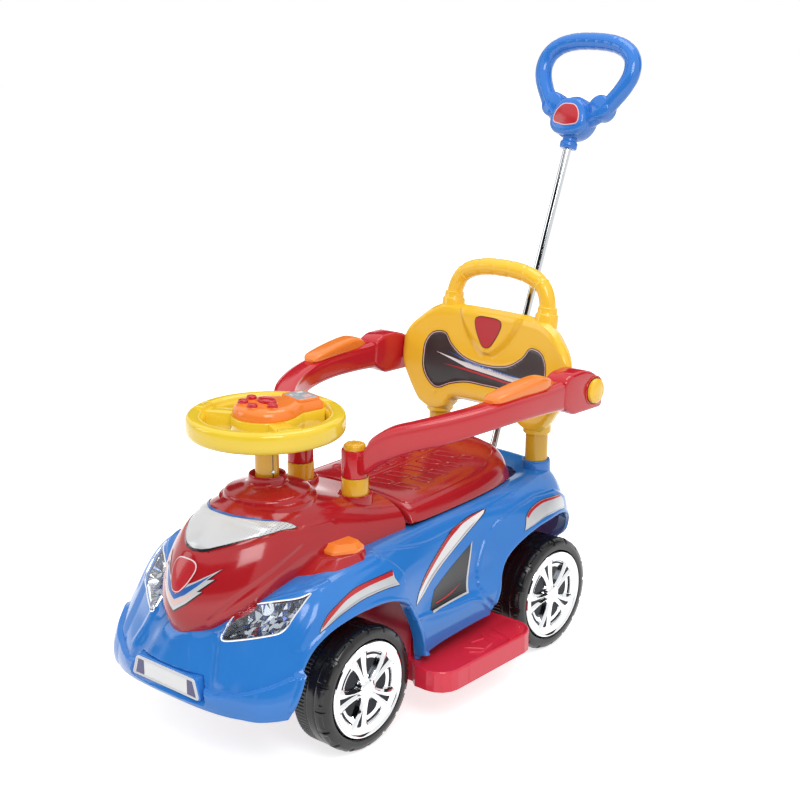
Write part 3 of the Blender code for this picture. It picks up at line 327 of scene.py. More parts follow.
def mirrored_rays(tree: bpy.types.NodeTree) -> bpy.types.NodeSocket:
    """One for what the camera sees straight, in a mirror or through glass, nought otherwise.

    Args:
        tree: the node tree that it goes into.

    Returns:
        The socket that gives it.
    """
    light = add_node(tree, "LightPath")
    seen = add_node(
        tree, "Math", {"operation": "MAXIMUM"}, in_0=light.outputs["Is Camera Ray"],
        in_1=light.outputs["Is Glossy Ray"])
    return add_node(
        tree, "Math", {"operation": "MAXIMUM"}, in_0=seen.outputs[0],
        in_1=light.outputs["Is Transmission Ray"]).outputs[0]


@dataclass(frozen=True)
class PaintedBoard(Finish):
    """The studio's floor: matt painted board that turns to plain white away from the car."""

    colour: str = "#E4E4E4"
    # What the camera and mirrors see brightens between these distances from the car's middle
    near: float = 0.4
    far: float = 1.1
    near_glow: float = 0.72

    def surface(self, tree: bpy.types.NodeTree) -> bpy.types.NodeSocket:
        """Matt board under a glow that lights nothing.

        Args:
            tree: the material's node tree.

        Returns:
            The shader's socket.
        """
        spot = add_node(tree, "TexCoord").outputs["Object"]
        away = add_node(tree, "VectorMath", {"operation": "LENGTH"}, in_0=spot)
        rise = add_node(
            tree, "MapRange", Value=away.outputs["Value"], From_Min=self.near, From_Max=self.far,
            To_Min=self.near_glow, To_Max=1.0)
        amount = add_node(
            tree, "Math", {"operation": "MULTIPLY"}, in_0=mirrored_rays(tree), in_1=rise.outputs["Result"])
        board = add_node(tree, "BsdfDiffuse", Color=linear(self.colour))
        glow = add_node(tree, "Emission", Color=linear("#FFFFFF"), Strength=amount.outputs[0])
        return add_node(
            tree, "AddShader", in_0=board.outputs["BSDF"], in_1=glow.outputs["Emission"]).outputs["Shader"]


# Moulded polypropylene: an even, clear colour under a soft gloss
BLUE = MouldedPlastic("polypropylene_moulded_blue", "#3080D4", "#2C7ACC")
# The shell's inside: a paler blue, painted glow for the light that the thin wall lets through, and flatter
BLUE_INSIDE_PAINTED_GLOW = MouldedPlastic("polypropylene_moulded_blue_inside_painted_glow", "#6E8FE6", "#7FA0EE", roughness=0.45)
RED = MouldedPlastic("polypropylene_moulded_red", "#B41F27", "#AA1B23")
# The rails are a brighter batch of the same red
RAIL_RED = MouldedPlastic("polypropylene_moulded_rail_red", "#CE2530", "#C4222C")
# The base: a pinker red, made brighter as a painted sheen for the glossy tops of its steps
BASE_RED_WITH_PAINTED_SHEEN = MouldedPlastic("polypropylene_moulded_base_red_with_painted_sheen", "#E63048", "#DE2C42", roughness=0.14)
YELLOW = MouldedPlastic("polypropylene_moulded_yellow", "#FFCE3A", "#FAC634", roughness=0.15)
WHEEL_YELLOW = MouldedPlastic("polypropylene_moulded_wheel_yellow", "#F4D23A", "#EECA32")
POST_YELLOW = MouldedPlastic("polypropylene_moulded_post_yellow", "#EAB62E", "#E0AC28")
ORANGE = MouldedPlastic("polypropylene_moulded_orange", "#FA8C38", "#F4822E", roughness=0.15)
GRIP_BLUE = MouldedPlastic("polypropylene_moulded_grip_blue", "#347FD8", "#3078D0")
# Blow-moulded polyethylene tyre: near black with a waxy, broad sheen
TYRE = MouldedPlastic("polyethylene_blow_moulded_black", "#121113", "#181719", roughness=0.2, scuff=0.08)
BLACK = MouldedPlastic("abs_moulded_black", "#17181A", "#1B1C1E", roughness=0.28)
# Vacuum-metallised wheel cover: a bright, slightly wavy mirror
COVER_CHROME = Metallised("vacuum_metallised_abs", "#EFF1F3", roughness=0.05)
# Painted shade: the pockets, slits and slots between the spokes are a dark steel grey that stands for the
# shade in these recesses
RECESS_PAINTED_SHADE = Metallised("vacuum_metallised_recess_painted_shade", "#2A2C30", roughness=0.16)
REFLECTOR = Metallised("vacuum_metallised_reflector", "#C9CDD2", roughness=0.04, wave_mm=6.0)
# Painted reflections: the reflector's dark and blue facets stand for what the chrome mirrors
REFLECTOR_PAINTED_DARK_REFLECTION = Metallised("vacuum_metallised_reflector_painted_dark_reflection", "#4C5056", roughness=0.1, wave_mm=6.0)
REFLECTOR_PAINTED_BLUE_REFLECTION = Metallised("vacuum_metallised_reflector_painted_blue_reflection", "#3D4F86", roughness=0.08, wave_mm=6.0)
# Chromed steel tube: mirror with fine rubbing
TUBE_CHROME = Metallised("chromed_steel_tube", "#D4D7DA", roughness=0.05, wave_mm=40.0, wave_depth_mm=0.01)
# Bright drawn steel, a little duller than the chrome
STEEL = Metallised("drawn_steel", "#B9BCBE", roughness=0.24, wave_mm=4.0)
LENS = ClearPlastic("polystyrene_clear")
SILVER_INK = PrintedVinyl("vinyl_silver", "#DADBDD", "#C3C5C8", metallic=0.15)
SILVER_DOTS = PrintedVinyl(
    "vinyl_silver_dotted", "#DADBDD", "#CDCFD2", metallic=0.15, dot_mm=2.4, dot_colour="#9DA0A4",
    dots_from=28.0, dots_full=62.0)
WHITE_INK = PrintedVinyl("vinyl_white", "#F0F0F0", "#E6E7E9")
RED_INK = PrintedVinyl("vinyl_red", "#C5202B", "#B81C27")
BLUE_INK = PrintedVinyl("vinyl_blue", "#1F5FAE", "#2768B8")
NAVY_INK = PrintedVinyl("vinyl_navy", "#2B2C66", "#333474")
BLACK_INK = PrintedVinyl("vinyl_black", "#16171A", "#1E1F22")
PINK_INK = PrintedVinyl("vinyl_pink", "#F0C9C4", "#EBBDB8")
MESH_INK = PrintedVinyl(
    "vinyl_black_dotted", "#26272B", "#2E2F33", dot_mm=2.6, dot_colour="#0C0C0E", dot_share=0.34)
SMOKE_INK = PrintedVinyl("vinyl_smoke_black", "#1A1718", "#3A3536", roughness=0.34)
GREY_INK = PrintedVinyl("vinyl_grey", "#9FA3A8", "#B8BBBF")


def mm(*rows: Sequence[object]) -> list[tuple]:
    """Rows of sizes written in millimetres, in metres."""

    def scaled(value: object) -> object:
        """One size, or all the sizes in a tuple."""
        return tuple(scaled(v) for v in value) if isinstance(value, tuple) else value / 1000

    return [scaled(row) for row in rows]


def full_turn(count: int) -> np.ndarray:
    """Angles spaced evenly round a circle."""
    return np.arange(count) * 2 * math.pi / count


def new_object(
        name: str, data: bpy.types.ID, place: Sequence[float] = (0.0, 0.0, 0.0),
        target: Sequence[float] | None = None, facing: str = "-Z") -> bpy.types.Object:
    """Puts a new object into the scene.

    Args:
        name: its name.
        data: its mesh, lamp or camera.
        place: where it stands.
        target: what it looks at, if anything.
        facing: the axis that looks there.

    Returns:
        The object.
    """
    item = bpy.data.objects.new(name, data)
    item.location = place
    if target is not None:
        item.rotation_euler = (Vector(target) - Vector(place)).to_track_quat(facing, "Y").to_euler()
    bpy.context.scene.collection.objects.link(item)
    return item


def curve_through(points: Sequence[Sequence[float]], count: int, looped: bool = False) -> np.ndarray:
    """Points along a smooth curve through given ones.

    Args:
        points: the points that it passes.
        count: how many points each span gets.
        looped: whether the last joins the first.

    Returns:
        An array with a row for each point.
    """
    knots = np.array(points, float)
    total = len(knots)
    rows = []
    for i in range(total if looped else total - 1):
        p0, p1, p2, p3 = (
            knots[(i + k) % total] if looped else knots[min(max(i + k, 0), total - 1)] for k in (-1, 0, 1, 2))
        for j in range(count):
            t = j / count
            bend, twist = 2 * p0 - 5 * p1 + 4 * p2 - p3, 3 * p1 - p0 - 3 * p2 + p3
            rows.append(0.5 * (2 * p1 + (p2 - p0) * t + bend * t**2 + twist * t**3))
    return np.array(rows if looped else rows + [knots[-1]])


def traced(outline: Sequence[Flat], sharp: Sequence[int], count: int = 5) -> list[Flat]:
    """A closed outline that runs smoothly between its sharp corners.

    Args:
        outline: its points in order.
        sharp: the places in the list of the corners that stay sharp.
        count: points to each span.

    Returns:
        The smoother outline.
    """
    made: list[Flat] = []
    total = len(outline)
    for a, b in zip(sharp, list(sharp[1:]) + [sharp[0] + total]):
        run = [outline[i % total] for i in range(a, b + 1)]
        made += [tuple(p) for p in curve_through(run, count)[:-1]]
    return made


def round_corners(outline: Sequence[Flat], radius: float, steps: int = 5) -> list[Flat]:
    """Rounds the corners of a closed outline.

    Args:
        outline: its corners in order.
        radius: how far from each corner the rounding starts, at most.
        steps: points in each rounding.

    Returns:
        The rounded outline.
    """
    made = []
    total = len(outline)
    for i in range(total):
        before, corner, after = (Vector(outline[(i + k) % total]) for k in (-1, 0, 1))
        a, b = before - corner, after - corner
        reach = min(radius, a.length * 0.48, b.length * 0.48)
        start, end = corner + a.normalized() * reach, corner + b.normalized() * reach
        for k in range(steps + 1):
            t = k / steps
            p = start * (1 - t) ** 2 + corner * (2 * t * (1 - t)) + end * t**2
            made.append((p.x, p.y))
    return made


def inset(outline: Sequence[Flat], distance: float) -> np.ndarray:
    """Moves a closed outline inwards.

    Args:
        outline: its points in order.
        distance: how far inwards.

    Returns:
        The moved outline.
    """
    outline = np.array(outline, float)
    after, before = np.roll(outline, -1, 0), np.roll(outline, 1, 0)
    along = after - before
    along /= np.maximum(np.linalg.norm(along, axis=1, keepdims=True), 1e-12)
    area = 0.5 * np.sum(outline[:, 0] * after[:, 1] - after[:, 0] * outline[:, 1])
    inwards = np.column_stack([-along[:, 1], along[:, 0]]) * (1.0 if area > 0 else -1.0)
    return outline + inwards * distance


def inside(points: np.ndarray, outline: np.ndarray) -> np.ndarray:
    """Tests which points lie inside a closed outline.

    Args:
        points: flat points, one a row.
        outline: the outline's points.

    Returns:
        One truth value a point.
    """
    x, y = points[:, 0], points[:, 1]
    found = np.zeros(len(points), bool)
    for (x0, y0), (x1, y1) in zip(outline, np.roll(outline, -1, 0)):
        crosses = (y0 > y) != (y1 > y)
        if y1 != y0:
            found ^= crosses & (x < (x1 - x0) * (y - y0) / (y1 - y0) + x0)
    return found


def to_line(points: np.ndarray, line: np.ndarray, looped: bool = False) -> tuple[np.ndarray, np.ndarray]:
    """Finds how far points lie from a line of points.

    Args:
        points: the points, in as many dimensions as the line.
        line: the line's points.
        looped: whether the line closes on itself.

    Returns:
        The distances, and the nearest places on the line.
    """
    best = np.full(len(points), 1e9)
    place = np.zeros_like(points)
    ends = np.roll(line, -1, 0) if looped else line[1:]
    for a, b in zip(line, ends):
        span = b - a
        size = float(span @ span)
        if size < 1e-16:
            continue
        t = np.clip((points - a) @ span / size, 0, 1)
        at = a + t[:, None] * span
        far = np.linalg.norm(points - at, axis=1)
        nearer = far < best
        best[nearer], place[nearer] = far[nearer], at[nearer]
    return best, place


@dataclass
class Shape:
    """Points and faces of a piece while it is made."""

    points: np.ndarray
    faces: list[tuple[int, ...]]
    tones: list[int] = field(default_factory=list)
    flats: np.ndarray | None = None

    def __post_init__(self) -> None:
        """Gives every face the first finish unless told otherwise."""
        self.points = np.array(self.points, float).reshape(-1, 3)
        self.tones = list(self.tones) or [0] * len(self.faces)

    @classmethod
    def sheet(
            cls, rows: Sequence[Sequence[Sequence[float]]], looped: bool = False, around: bool = False,
            capped: bool = False) -> "Shape":
        """Quads through rows of points.

        Args:
            rows: the rows, of equal length.
            looped: whether the last row joins the first.
            around: whether each row closes on itself.
            capped: whether the first and last rows are filled.

        Returns:
            The sheet.
        """
        grid = np.array(rows, float)
        count, width = grid.shape[:2]
        faces = []
        for i in range(count if looped else count - 1):
            n = (i + 1) % count
            for j in range(width if around else width - 1):
                k = (j + 1) % width
                faces.append((i * width + j, i * width + k, n * width + k, n * width + j))
        if capped:
            faces += [tuple(range(width - 1, -1, -1)), tuple(range((count - 1) * width, count * width))]
        return cls(grid.reshape(-1, 3), faces)

    @classmethod
    def lathe(
            cls, profile: Sequence[Flat], centre: Sequence[float] = (0.0, 0.0, 0.0), axis: str = "Z",
            steps: int = 72, closed: bool = False) -> "Shape":
        """A body of revolution.

        Args:
            profile: pairs of radius and height.
            centre: where its origin goes.
            axis: X, Y or Z.
            steps: points round it.
            closed: whether the profile closes on itself and leaves a bore.

        Returns:
            The turned shape.
        """
        angles, rows = full_turn(steps), []
        for radius, height in profile:
            reach = max(radius, 1e-6)
            rows.append(
                np.column_stack([reach * np.cos(angles), reach * np.sin(angles), np.full(steps, height)]))
        made = cls.sheet(rows, looped=closed, around=True, capped=not closed)
        turn = {
            "Z": Matrix(), "X": Matrix.Rotation(math.radians(90), 4, "Y"),
            "Y": Matrix.Rotation(math.radians(-90), 4, "X")}[axis]
        return made.moved(Matrix.Translation(centre) @ turn)

    @classmethod
    def stack(cls, outline: Sequence[Flat], levels: Sequence[Flat], axis: str = "Z") -> "Shape":
        """An outline drawn along an axis, moved in at each level, as a bevelled plate is.

        Args:
            outline: the flat outline, across the axis.
            levels: pairs of place along the axis and distance moved in.
            axis: X, Y or Z.

        Returns:
            The closed shape.
        """
        flat = np.array(outline, float)
        rows = []
        for place, move_in in levels:
            ring = inset(flat, move_in)
            high = np.full(len(ring), place)
            a, b = ring[:, 0], ring[:, 1]
            rows.append(np.column_stack({"X": (high, a, b), "Y": (a, high, b), "Z": (a, b, high)}[axis]))
        return cls.sheet(rows, around=True, capped=True)

    @classmethod
    def tube(
            cls, path: Sequence[Sequence[float]], radius: float | Sequence[float], sides: int = 24,
            looped: bool = False, level: Sequence[float] = (0.0, 1.0, 0.0)) -> "Shape":
        """A round bar along a path.

        Args:
            path: its middle line.
            radius: one radius, or one a point.
            sides: points round it.
            looped: whether it closes on itself.
            level: a direction that its first side keeps.

        Returns:
            The bar.
        """
        line = np.array(path, float)
        radii = np.broadcast_to(np.array(radius, float), (len(line),))
        rows = []
        for i, p in enumerate(line):
            ahead = line[(i + 1) % len(line)] if looped else line[min(i + 1, len(line) - 1)]
            behind = line[i - 1] if looped else line[max(i - 1, 0)]
            along = (ahead - behind) / max(np.linalg.norm(ahead - behind), 1e-12)
            side = np.array(level, float) - along * float(np.dot(level, along))
            side /= max(np.linalg.norm(side), 1e-12)
            other = np.cross(along, side)
            angles = full_turn(sides)
            rows.append(p + radii[i] * (np.cos(angles)[:, None] * side + np.sin(angles)[:, None] * other))
        return cls.sheet(rows, looped=looped, around=True, capped=not looped)

    def plus(self, *others: "Shape") -> "Shape":
        """This shape and others as one.

        Args:
            others: the shapes that join it.

        Returns:
            The joint shape.
        """
        points, faces, tones = [self.points], list(self.faces), list(self.tones)
        start = len(self.points)
        for other in others:
            faces += [tuple(i + start for i in face) for face in other.faces]
            tones += other.tones
            points.append(other.points)
            start += len(other.points)
        return Shape(np.vstack(points), faces, tones)

    def moved(self, matrix: Matrix) -> "Shape":
        """This shape under a matrix."""
        m = np.array(matrix)
        return Shape(self.points @ m[:3, :3].T + m[:3, 3], self.faces, self.tones, self.flats)

    def placed(self, at: Solid3, degrees: float = 0.0, axis: str = "Z") -> "Shape":
        """This shape turned about an axis through the origin, then shifted."""
        return self.moved(Matrix.Translation(at) @ Matrix.Rotation(math.radians(degrees), 4, axis))

    def mirrored(self) -> "Shape":
        """This shape on the other side of the car."""
        return Shape(
            self.points * np.array([-1.0, 1.0, 1.0]), [tuple(reversed(f)) for f in self.faces], self.tones,
            self.flats)

    def toned(self, tone: int) -> "Shape":
        """This shape with all its faces in one of the piece's finishes."""
        return Shape(self.points, self.faces, [tone] * len(self.faces), self.flats)

    def on(self, side: Side) -> "Shape":
        """This shape on the side that is asked for."""
        return self if side is Side.LEFT else self.mirrored()

    def both(self) -> "Shape":
        """This shape and its mirror image."""
        return self.plus(self.mirrored())

    def refined(self, levels: int) -> "Shape":
        """This cage rounded by subdivision.

        Args:
            levels: how often each face is divided.

        Returns:
            The fine shape.
        """
        mesh = bpy.data.meshes.new("cage")
        mesh.from_pydata(self.points.tolist(), [], self.faces)
        item = new_object("cage", mesh)
        rounding = item.modifiers.new("Rounding", "SUBSURF")
        rounding.levels = rounding.render_levels = levels
        bpy.context.view_layer.update()
        seen = item.evaluated_get(bpy.context.evaluated_depsgraph_get()).to_mesh()
        co = np.empty(len(seen.vertices) * 3)
        seen.vertices.foreach_get("co", co)
        made = Shape(co.reshape(-1, 3), [tuple(p.vertices) for p in seen.polygons])
        bpy.data.objects.remove(item)
        bpy.data.meshes.remove(mesh)
        return made

    def normals(self) -> np.ndarray:
        """The direction out of the surface at each point."""
        mesh = bpy.data.meshes.new("normals")
        mesh.from_pydata(self.points.tolist(), [], self.faces)
        found = np.empty(len(mesh.vertices) * 3)
        mesh.vertices.foreach_get("normal", found)
        bpy.data.meshes.remove(mesh)
        return found.reshape(-1, 3)

    def facing_up(self) -> "Shape":
        """This sheet with its outside on top."""
        if self.normals()[:, 2].sum() < 0:
            return Shape(self.points, [tuple(reversed(f)) for f in self.faces])
        return self

    def tree(self) -> BVHTree:
        """A search tree of the surface, to drop other pieces onto it."""
        return BVHTree.FromPolygons(self.points.tolist(), self.faces)

    def thickened(self, skin: float, tone_inside: int = 0) -> "Shape":
        """An open sheet given a wall behind it, with its rims closed.

        Args:
            skin: the wall's thickness.
            tone_inside: the finish of the wall's inside.

        Returns:
            The closed shell.
        """
        back = self.points - self.normals() * skin
        count = len(self.points)
        rims: dict[tuple[int, int], int] = {}
        for face in self.faces:
            for a, b in zip(face, face[1:] + face[:1]):
                rims[(a, b)] = rims.get((a, b), 0) + 1
        faces = list(self.faces) + [tuple(i + count for i in reversed(f)) for f in self.faces]
        tones = list(self.tones) + [tone_inside] * len(self.faces)
        for (a, b) in rims:
            if (b, a) not in rims:
                faces.append((b, a, a + count, b + count))
                tones.append(0)
        return Shape(np.vstack([self.points, back]), faces, tones)

    def opened(
            self, flat: Callable[[np.ndarray], np.ndarray], outline: np.ndarray,
            chosen: Callable[[np.ndarray], np.ndarray]) -> "Shape":
        """This sheet with a hole whose edge runs exactly along an outline.

        Args:
            flat: turns points into the outline's flat coordinates, an axis to a column.
            outline: the hole's outline.
            chosen: says which points the hole may touch.

        Returns:
            The sheet with its hole.
        """
        tree = self.tree()
        hit = inside(flat(self.points), outline) & chosen(self.points)
        kept = [(f, t) for f, t in zip(self.faces, self.tones) if not all(hit[i] for i in f)]
        rim = sorted({i for f, _ in kept for i in f if hit[i]})
        points = self.points.copy()
        if rim:
            _, nearest = to_line(flat(points[rim]), outline, looped=True)
            for _ in range(6):
                # Slides each rim point over the surface until its flat place is on the outline
                for k, i in enumerate(rim):
                    points[i] += self._back(flat, points[i], nearest[k] - flat(points[i][None])[0])
                    points[i] = np.array(tree.find_nearest(Vector(points[i]))[0])
        used = sorted({i for f, _ in kept for i in f})
        index = {old: new for new, old in enumerate(used)}
        return Shape(points[used], [tuple(index[i] for i in f) for f, _ in kept], [t for _, t in kept])

    @staticmethod
    def _back(flat: Callable[[np.ndarray], np.ndarray], point: np.ndarray, shift: np.ndarray) -> np.ndarray:
        """The smallest move in space that makes a given move in the flat coordinates.

        Args:
            flat: turns points into flat coordinates.
            point: where it starts.
            shift: the flat move.

        Returns:
            The move in space.
        """
        small = 1e-4
        here = flat(point[None])[0]
        slope = np.column_stack(
            [(flat((point + small * axis)[None])[0] - here) / small for axis in np.eye(3)])
        return np.linalg.pinv(slope) @ shift


def make_piece(
        name: str, shape: Shape, finishes: Sequence[Finish], slot: Slot, stands_for: Sequence[str] = (),
        body: str = "car", angle: float = 35.0) -> bpy.types.Object:
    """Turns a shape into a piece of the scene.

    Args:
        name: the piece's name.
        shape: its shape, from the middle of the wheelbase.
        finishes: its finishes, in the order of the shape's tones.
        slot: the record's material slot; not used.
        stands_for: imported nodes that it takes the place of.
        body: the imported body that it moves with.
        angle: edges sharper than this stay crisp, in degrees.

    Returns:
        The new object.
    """
    mesh = bpy.data.meshes.new(name)
    points = shape.points - np.array([0.0, MIDWAY, 0.0])
    mesh.from_pydata(points.tolist(), [], shape.faces)
    for finish in finishes:
        mesh.materials.append(finish.material())
    mesh.polygons.foreach_set("material_index", shape.tones)
    if shape.flats is not None:
        layer = mesh.uv_layers.new(name="flat_mm")
        corners = np.empty(len(mesh.loops), np.int32)
        mesh.loops.foreach_get("vertex_index", corners)
        layer.data.foreach_set("uv", shape.flats[corners].astype(np.float32).ravel())
    work = bmesh.new()
    work.from_mesh(mesh)
    bmesh.ops.remove_doubles(work, verts=work.verts, dist=2e-6)
    bmesh.ops.recalc_face_normals(work, faces=work.faces)
    work.to_mesh(mesh)
    work.free()
    mesh.shade_smooth()
    mesh.set_sharp_from_angle(angle=math.radians(angle))
    item = new_object(name, mesh)
    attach(item, body)
    if stands_for:
        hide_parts(*stands_for)
    LOG.info("%s: %d faces on %s", name, len(mesh.polygons), body)
    return item


def dress_node(node: str, finish: Finish, slot: Slot, bevel_mm: float = 0.0) -> bpy.types.Object:
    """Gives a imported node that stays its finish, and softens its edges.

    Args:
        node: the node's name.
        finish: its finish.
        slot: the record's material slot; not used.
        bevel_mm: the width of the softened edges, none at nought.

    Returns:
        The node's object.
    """
    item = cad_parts[node]
    item.data.materials.clear()
    item.data.materials.append(finish.material())
    item.data.shade_smooth()
    item.data.set_sharp_from_angle(angle=math.radians(30))
    if bevel_mm:
        soft = item.modifiers.new("Softened edges", "BEVEL")
        soft.width, soft.segments = bevel_mm / 1000, 2
        soft.limit_method, soft.angle_limit = "ANGLE", math.radians(50)
    return item


def fill_outline(outline: np.ndarray, step: float) -> tuple[np.ndarray, list[tuple[int, ...]]]:
    """Fills a flat outline with small triangles.

    Args:
        outline: its points, densely spaced.
        step: the spacing of the points inside.

    Returns:
        The flat points and the triangles.
    """
    low, high = outline.min(0), outline.max(0)
    xs, ys = np.arange(low[0], high[0], step), np.arange(low[1], high[1], step)
    cells = np.array([(x + (step / 2 if k % 2 else 0.0), y) for k, y in enumerate(ys) for x in xs])
    if len(cells):
        cells = cells[inside(cells, outline)]
        far, _ = to_line(cells, outline, looped=True)
        cells = cells[far > step * 0.45]
    points = [Vector(p) for p in outline] + [Vector(p) for p in cells]
    verts, _, faces, _, _, _ = delaunay_2d_cdt(points, [], [list(range(len(outline)))], 1, 1e-7)
    return np.array([tuple(v) for v in verts]), [tuple(f) for f in faces]


def densified(outline: Sequence[Flat], step: float) -> np.ndarray:
    """A closed outline with points no further apart than a step.

    Args:
        outline: its points in order.
        step: the widest gap between two points, nearly.

    Returns:
        The denser outline.
    """
    line, rows = np.array(outline, float), []
    for a, b in zip(line, np.roll(line, -1, 0)):
        parts = max(1, int(np.linalg.norm(b - a) / step))
        rows += [a + (b - a) * k / parts for k in range(parts)]
    return np.array(rows)


@dataclass(frozen=True)
class Projector:
    """Drops flat drawings onto a surface along one direction."""

    across: Vector
    up: Vector
    towards: Vector
    start: Vector

    def flat(self, points: np.ndarray) -> np.ndarray:
        """The drawing's coordinates of points in space."""
        return np.column_stack([points @ np.array(self.across), points @ np.array(self.up)])

    def land(self, tree: BVHTree, spot: Sequence[float]) -> tuple[Vector, Vector] | None:
        """Where a drawn point meets the surface, and the surface's direction there.

        Args:
            tree: the surface.
            spot: the drawn point.

        Returns:
            The place and the direction, or none where it misses.
        """
        origin = self.start + self.across * float(spot[0]) + self.up * float(spot[1])
        place, normal, _, _ = tree.ray_cast(origin, self.towards)
        if place is None:
            return None
        return place, normal if normal.dot(self.towards) < 0 else -normal


# Seen square from the car's left side: flat coordinates are y and z
FROM_SIDE = Projector(Vector((0, 1, 0)), Vector((0, 0, 1)), Vector((-1, 0, 0)), Vector((1, 0, 0)))
# Seen square from the nose: flat coordinates are x and z
FROM_NOSE = Projector(Vector((1, 0, 0)), Vector((0, 0, 1)), Vector((0, 1, 0)), Vector((0, -1, 0)))
# Seen square to the bonnet's brow, halfway between the nose and the top
FROM_BROW = Projector(
    Vector((1, 0, 0)), Vector((0, math.sqrt(0.5), math.sqrt(0.5))),
    Vector((0, math.sqrt(0.5), -math.sqrt(0.5))), Vector((0, -1, 1)))
# Seen square to the backrest's front: flat coordinates are x and the height up its slope
BACK_UP = Vector((0, math.sin(BACK_LEAN), math.cos(BACK_LEAN)))
BACK_IN = Vector((0, math.cos(BACK_LEAN), -math.sin(BACK_LEAN)))
FROM_DRIVER = Projector(
    Vector((1, 0, 0)), BACK_UP, BACK_IN, Vector((0, REAR_POST[1], BACK_Z)) - BACK_IN * 0.2)


def mirrored_outline(half: Sequence[Flat]) -> list[Flat]:
    """A closed outline from its half at x above nought, listed from the middle round to the middle."""
    return list(half) + [(-x, y) for x, y in reversed(half) if abs(x) > 1e-6]


def draped(
        outline: Sequence[Flat], projector: Projector, tree: BVHTree, lift: float, step: float = 0.0016,
        film: float = 0.0003) -> Shape:
    """A thin film over a surface, cut to an outline.

    Args:
        outline: the flat outline.
        projector: how the drawing meets the surface.
        tree: the surface.
        lift: how far the film's top stands off the surface.
        step: the spacing of its points.
        film: the film's thickness.

    Returns:
        The film, closed, with its flat coordinates in mm kept for the print.
    """
    flat, faces = fill_outline(densified(outline, step), step)
    top, low, known = [], [], []
    for k, spot in enumerate(flat):
        landed = projector.land(tree, spot)
        if landed:
            place, normal = landed
            top.append(place + normal * lift)
            low.append(place + normal * (lift - film))
            known.append(k)
    index = {old: new for new, old in enumerate(known)}
    kept = [tuple(index[i] for i in f) for f in faces if all(i in index for i in f)]
    count = len(top)
    shell = list(kept) + [tuple(i + count for i in reversed(f)) for f in kept]
    edges = {(a, b) for f in kept for a, b in zip(f, f[1:] + f[:1])}
    shell += [(b, a, a + count, b + count) for a, b in edges if (b, a) not in edges]
    marks = np.vstack([flat[known], flat[known]]) * 1000
    return Shape(np.array([tuple(p) for p in top + low]), shell, [], marks)


def bead_on(
        line: np.ndarray, projector: Projector, tree: BVHTree, radius: float, sink: float = 0.35,
        looped: bool = False) -> Shape:
    """A raised half-round line moulded on a surface.

    Args:
        line: the flat line.
        projector: how the drawing meets the surface.
        tree: the surface.
        radius: the bead's radius.
        sink: the share of its radius that lies below the surface.
        looped: whether it closes on itself.

    Returns:
        The bead.
    """
    path = []
    for spot in line:
        landed = projector.land(tree, spot)
        if landed:
            path.append(tuple(landed[0] - landed[1] * radius * sink))
    return Shape.tube(path, radius, 8, looped, level=tuple(projector.across))


# Blue body: columns of points from the lower edge up to the deck, from the nose round the left to the tail
BODY_COLUMNS = mm(
    (
        (0, -331, 82), (0, -336, 90), (0, -338, 108), (0, -330, 124), (0, -322, 144), (0, -304, 156),
        (0, -262, 158)),
    (
        (50, -330, 81), (51, -335, 90), (49, -334, 109), (44, -320, 128), (41, -311, 149), (38, -293, 163),
        (34, -252, 165)),
    (
        (94, -318, 76), (94, -320, 90), (90, -314, 112), (83, -297, 134), (77, -284, 164), (71, -267, 184),
        (60, -232, 186)),
    (
        (127, -297, 77), (128, -299, 91), (123, -292, 113), (112, -276, 142), (105, -261, 174),
        (92, -242, 199), (76, -216, 200)),
    (
        (147, -265, 82), (148, -266, 96), (146, -263, 116), (139, -252, 146), (129, -237, 180),
        (105, -222, 204), (84, -206, 202)),
    (
        (146, -220, 62), (151, -222, 90), (151, -222, 118), (148, -220, 150), (137, -214, 185),
        (110, -205, 206), (86, -196, 204)),
    (
        (147, -165, 62), (151, -165, 90), (152, -165, 118), (150, -165, 152), (139, -163, 187),
        (112, -160, 209), (88, -158, 206)),
    (
        (147, -112, 62), (151, -112, 90), (151, -112, 118), (149, -111, 151), (137, -110, 186),
        (111, -110, 211), (89, -110, 208)),
    (
        (150, -74, 86), (152, -76, 104), (150, -78, 120), (141, -78, 134), (130, -80, 187), (110, -80, 213),
        (89, -80, 210)),
    (
        (151, -12, 89), (153, -12, 108), (150, -12, 122), (135, -12, 131), (126, -12, 188), (108, -12, 215),
        (88, -12, 211)),
    (
        (151, 48, 92), (153, 48, 110), (150, 48, 122), (138, 50, 132), (129, 52, 187), (107, 52, 215),
        (86, 52, 211)),
    (
        (150, 100, 80), (152, 100, 108), (151, 100, 130), (148, 100, 152), (138, 102, 190), (108, 102, 216),
        (84, 102, 211)),
    (
        (145, 160, 80), (149, 162, 110), (150, 162, 138), (147, 162, 166), (136, 160, 196), (107, 158, 218),
        (80, 153, 212)),
    (
        (130, 216, 82), (134, 220, 110), (136, 221, 136), (134, 219, 166), (126, 215, 198), (103, 208, 219),
        (77, 190, 212)),
    (
        (102, 245, 84), (108, 252, 108), (111, 254, 134), (110, 252, 168), (103, 246, 202), (88, 236, 220),
        (60, 207, 212)),
    (
        (56, 256, 84), (59, 263, 108), (61, 266, 134), (61, 265, 170), (58, 260, 204), (50, 251, 220),
        (34, 211, 212)),
    ((0, 258, 84), (0, 266, 108), (0, 269, 134), (0, 268, 170), (0, 263, 204), (0, 254, 220), (0, 212, 212)),
)

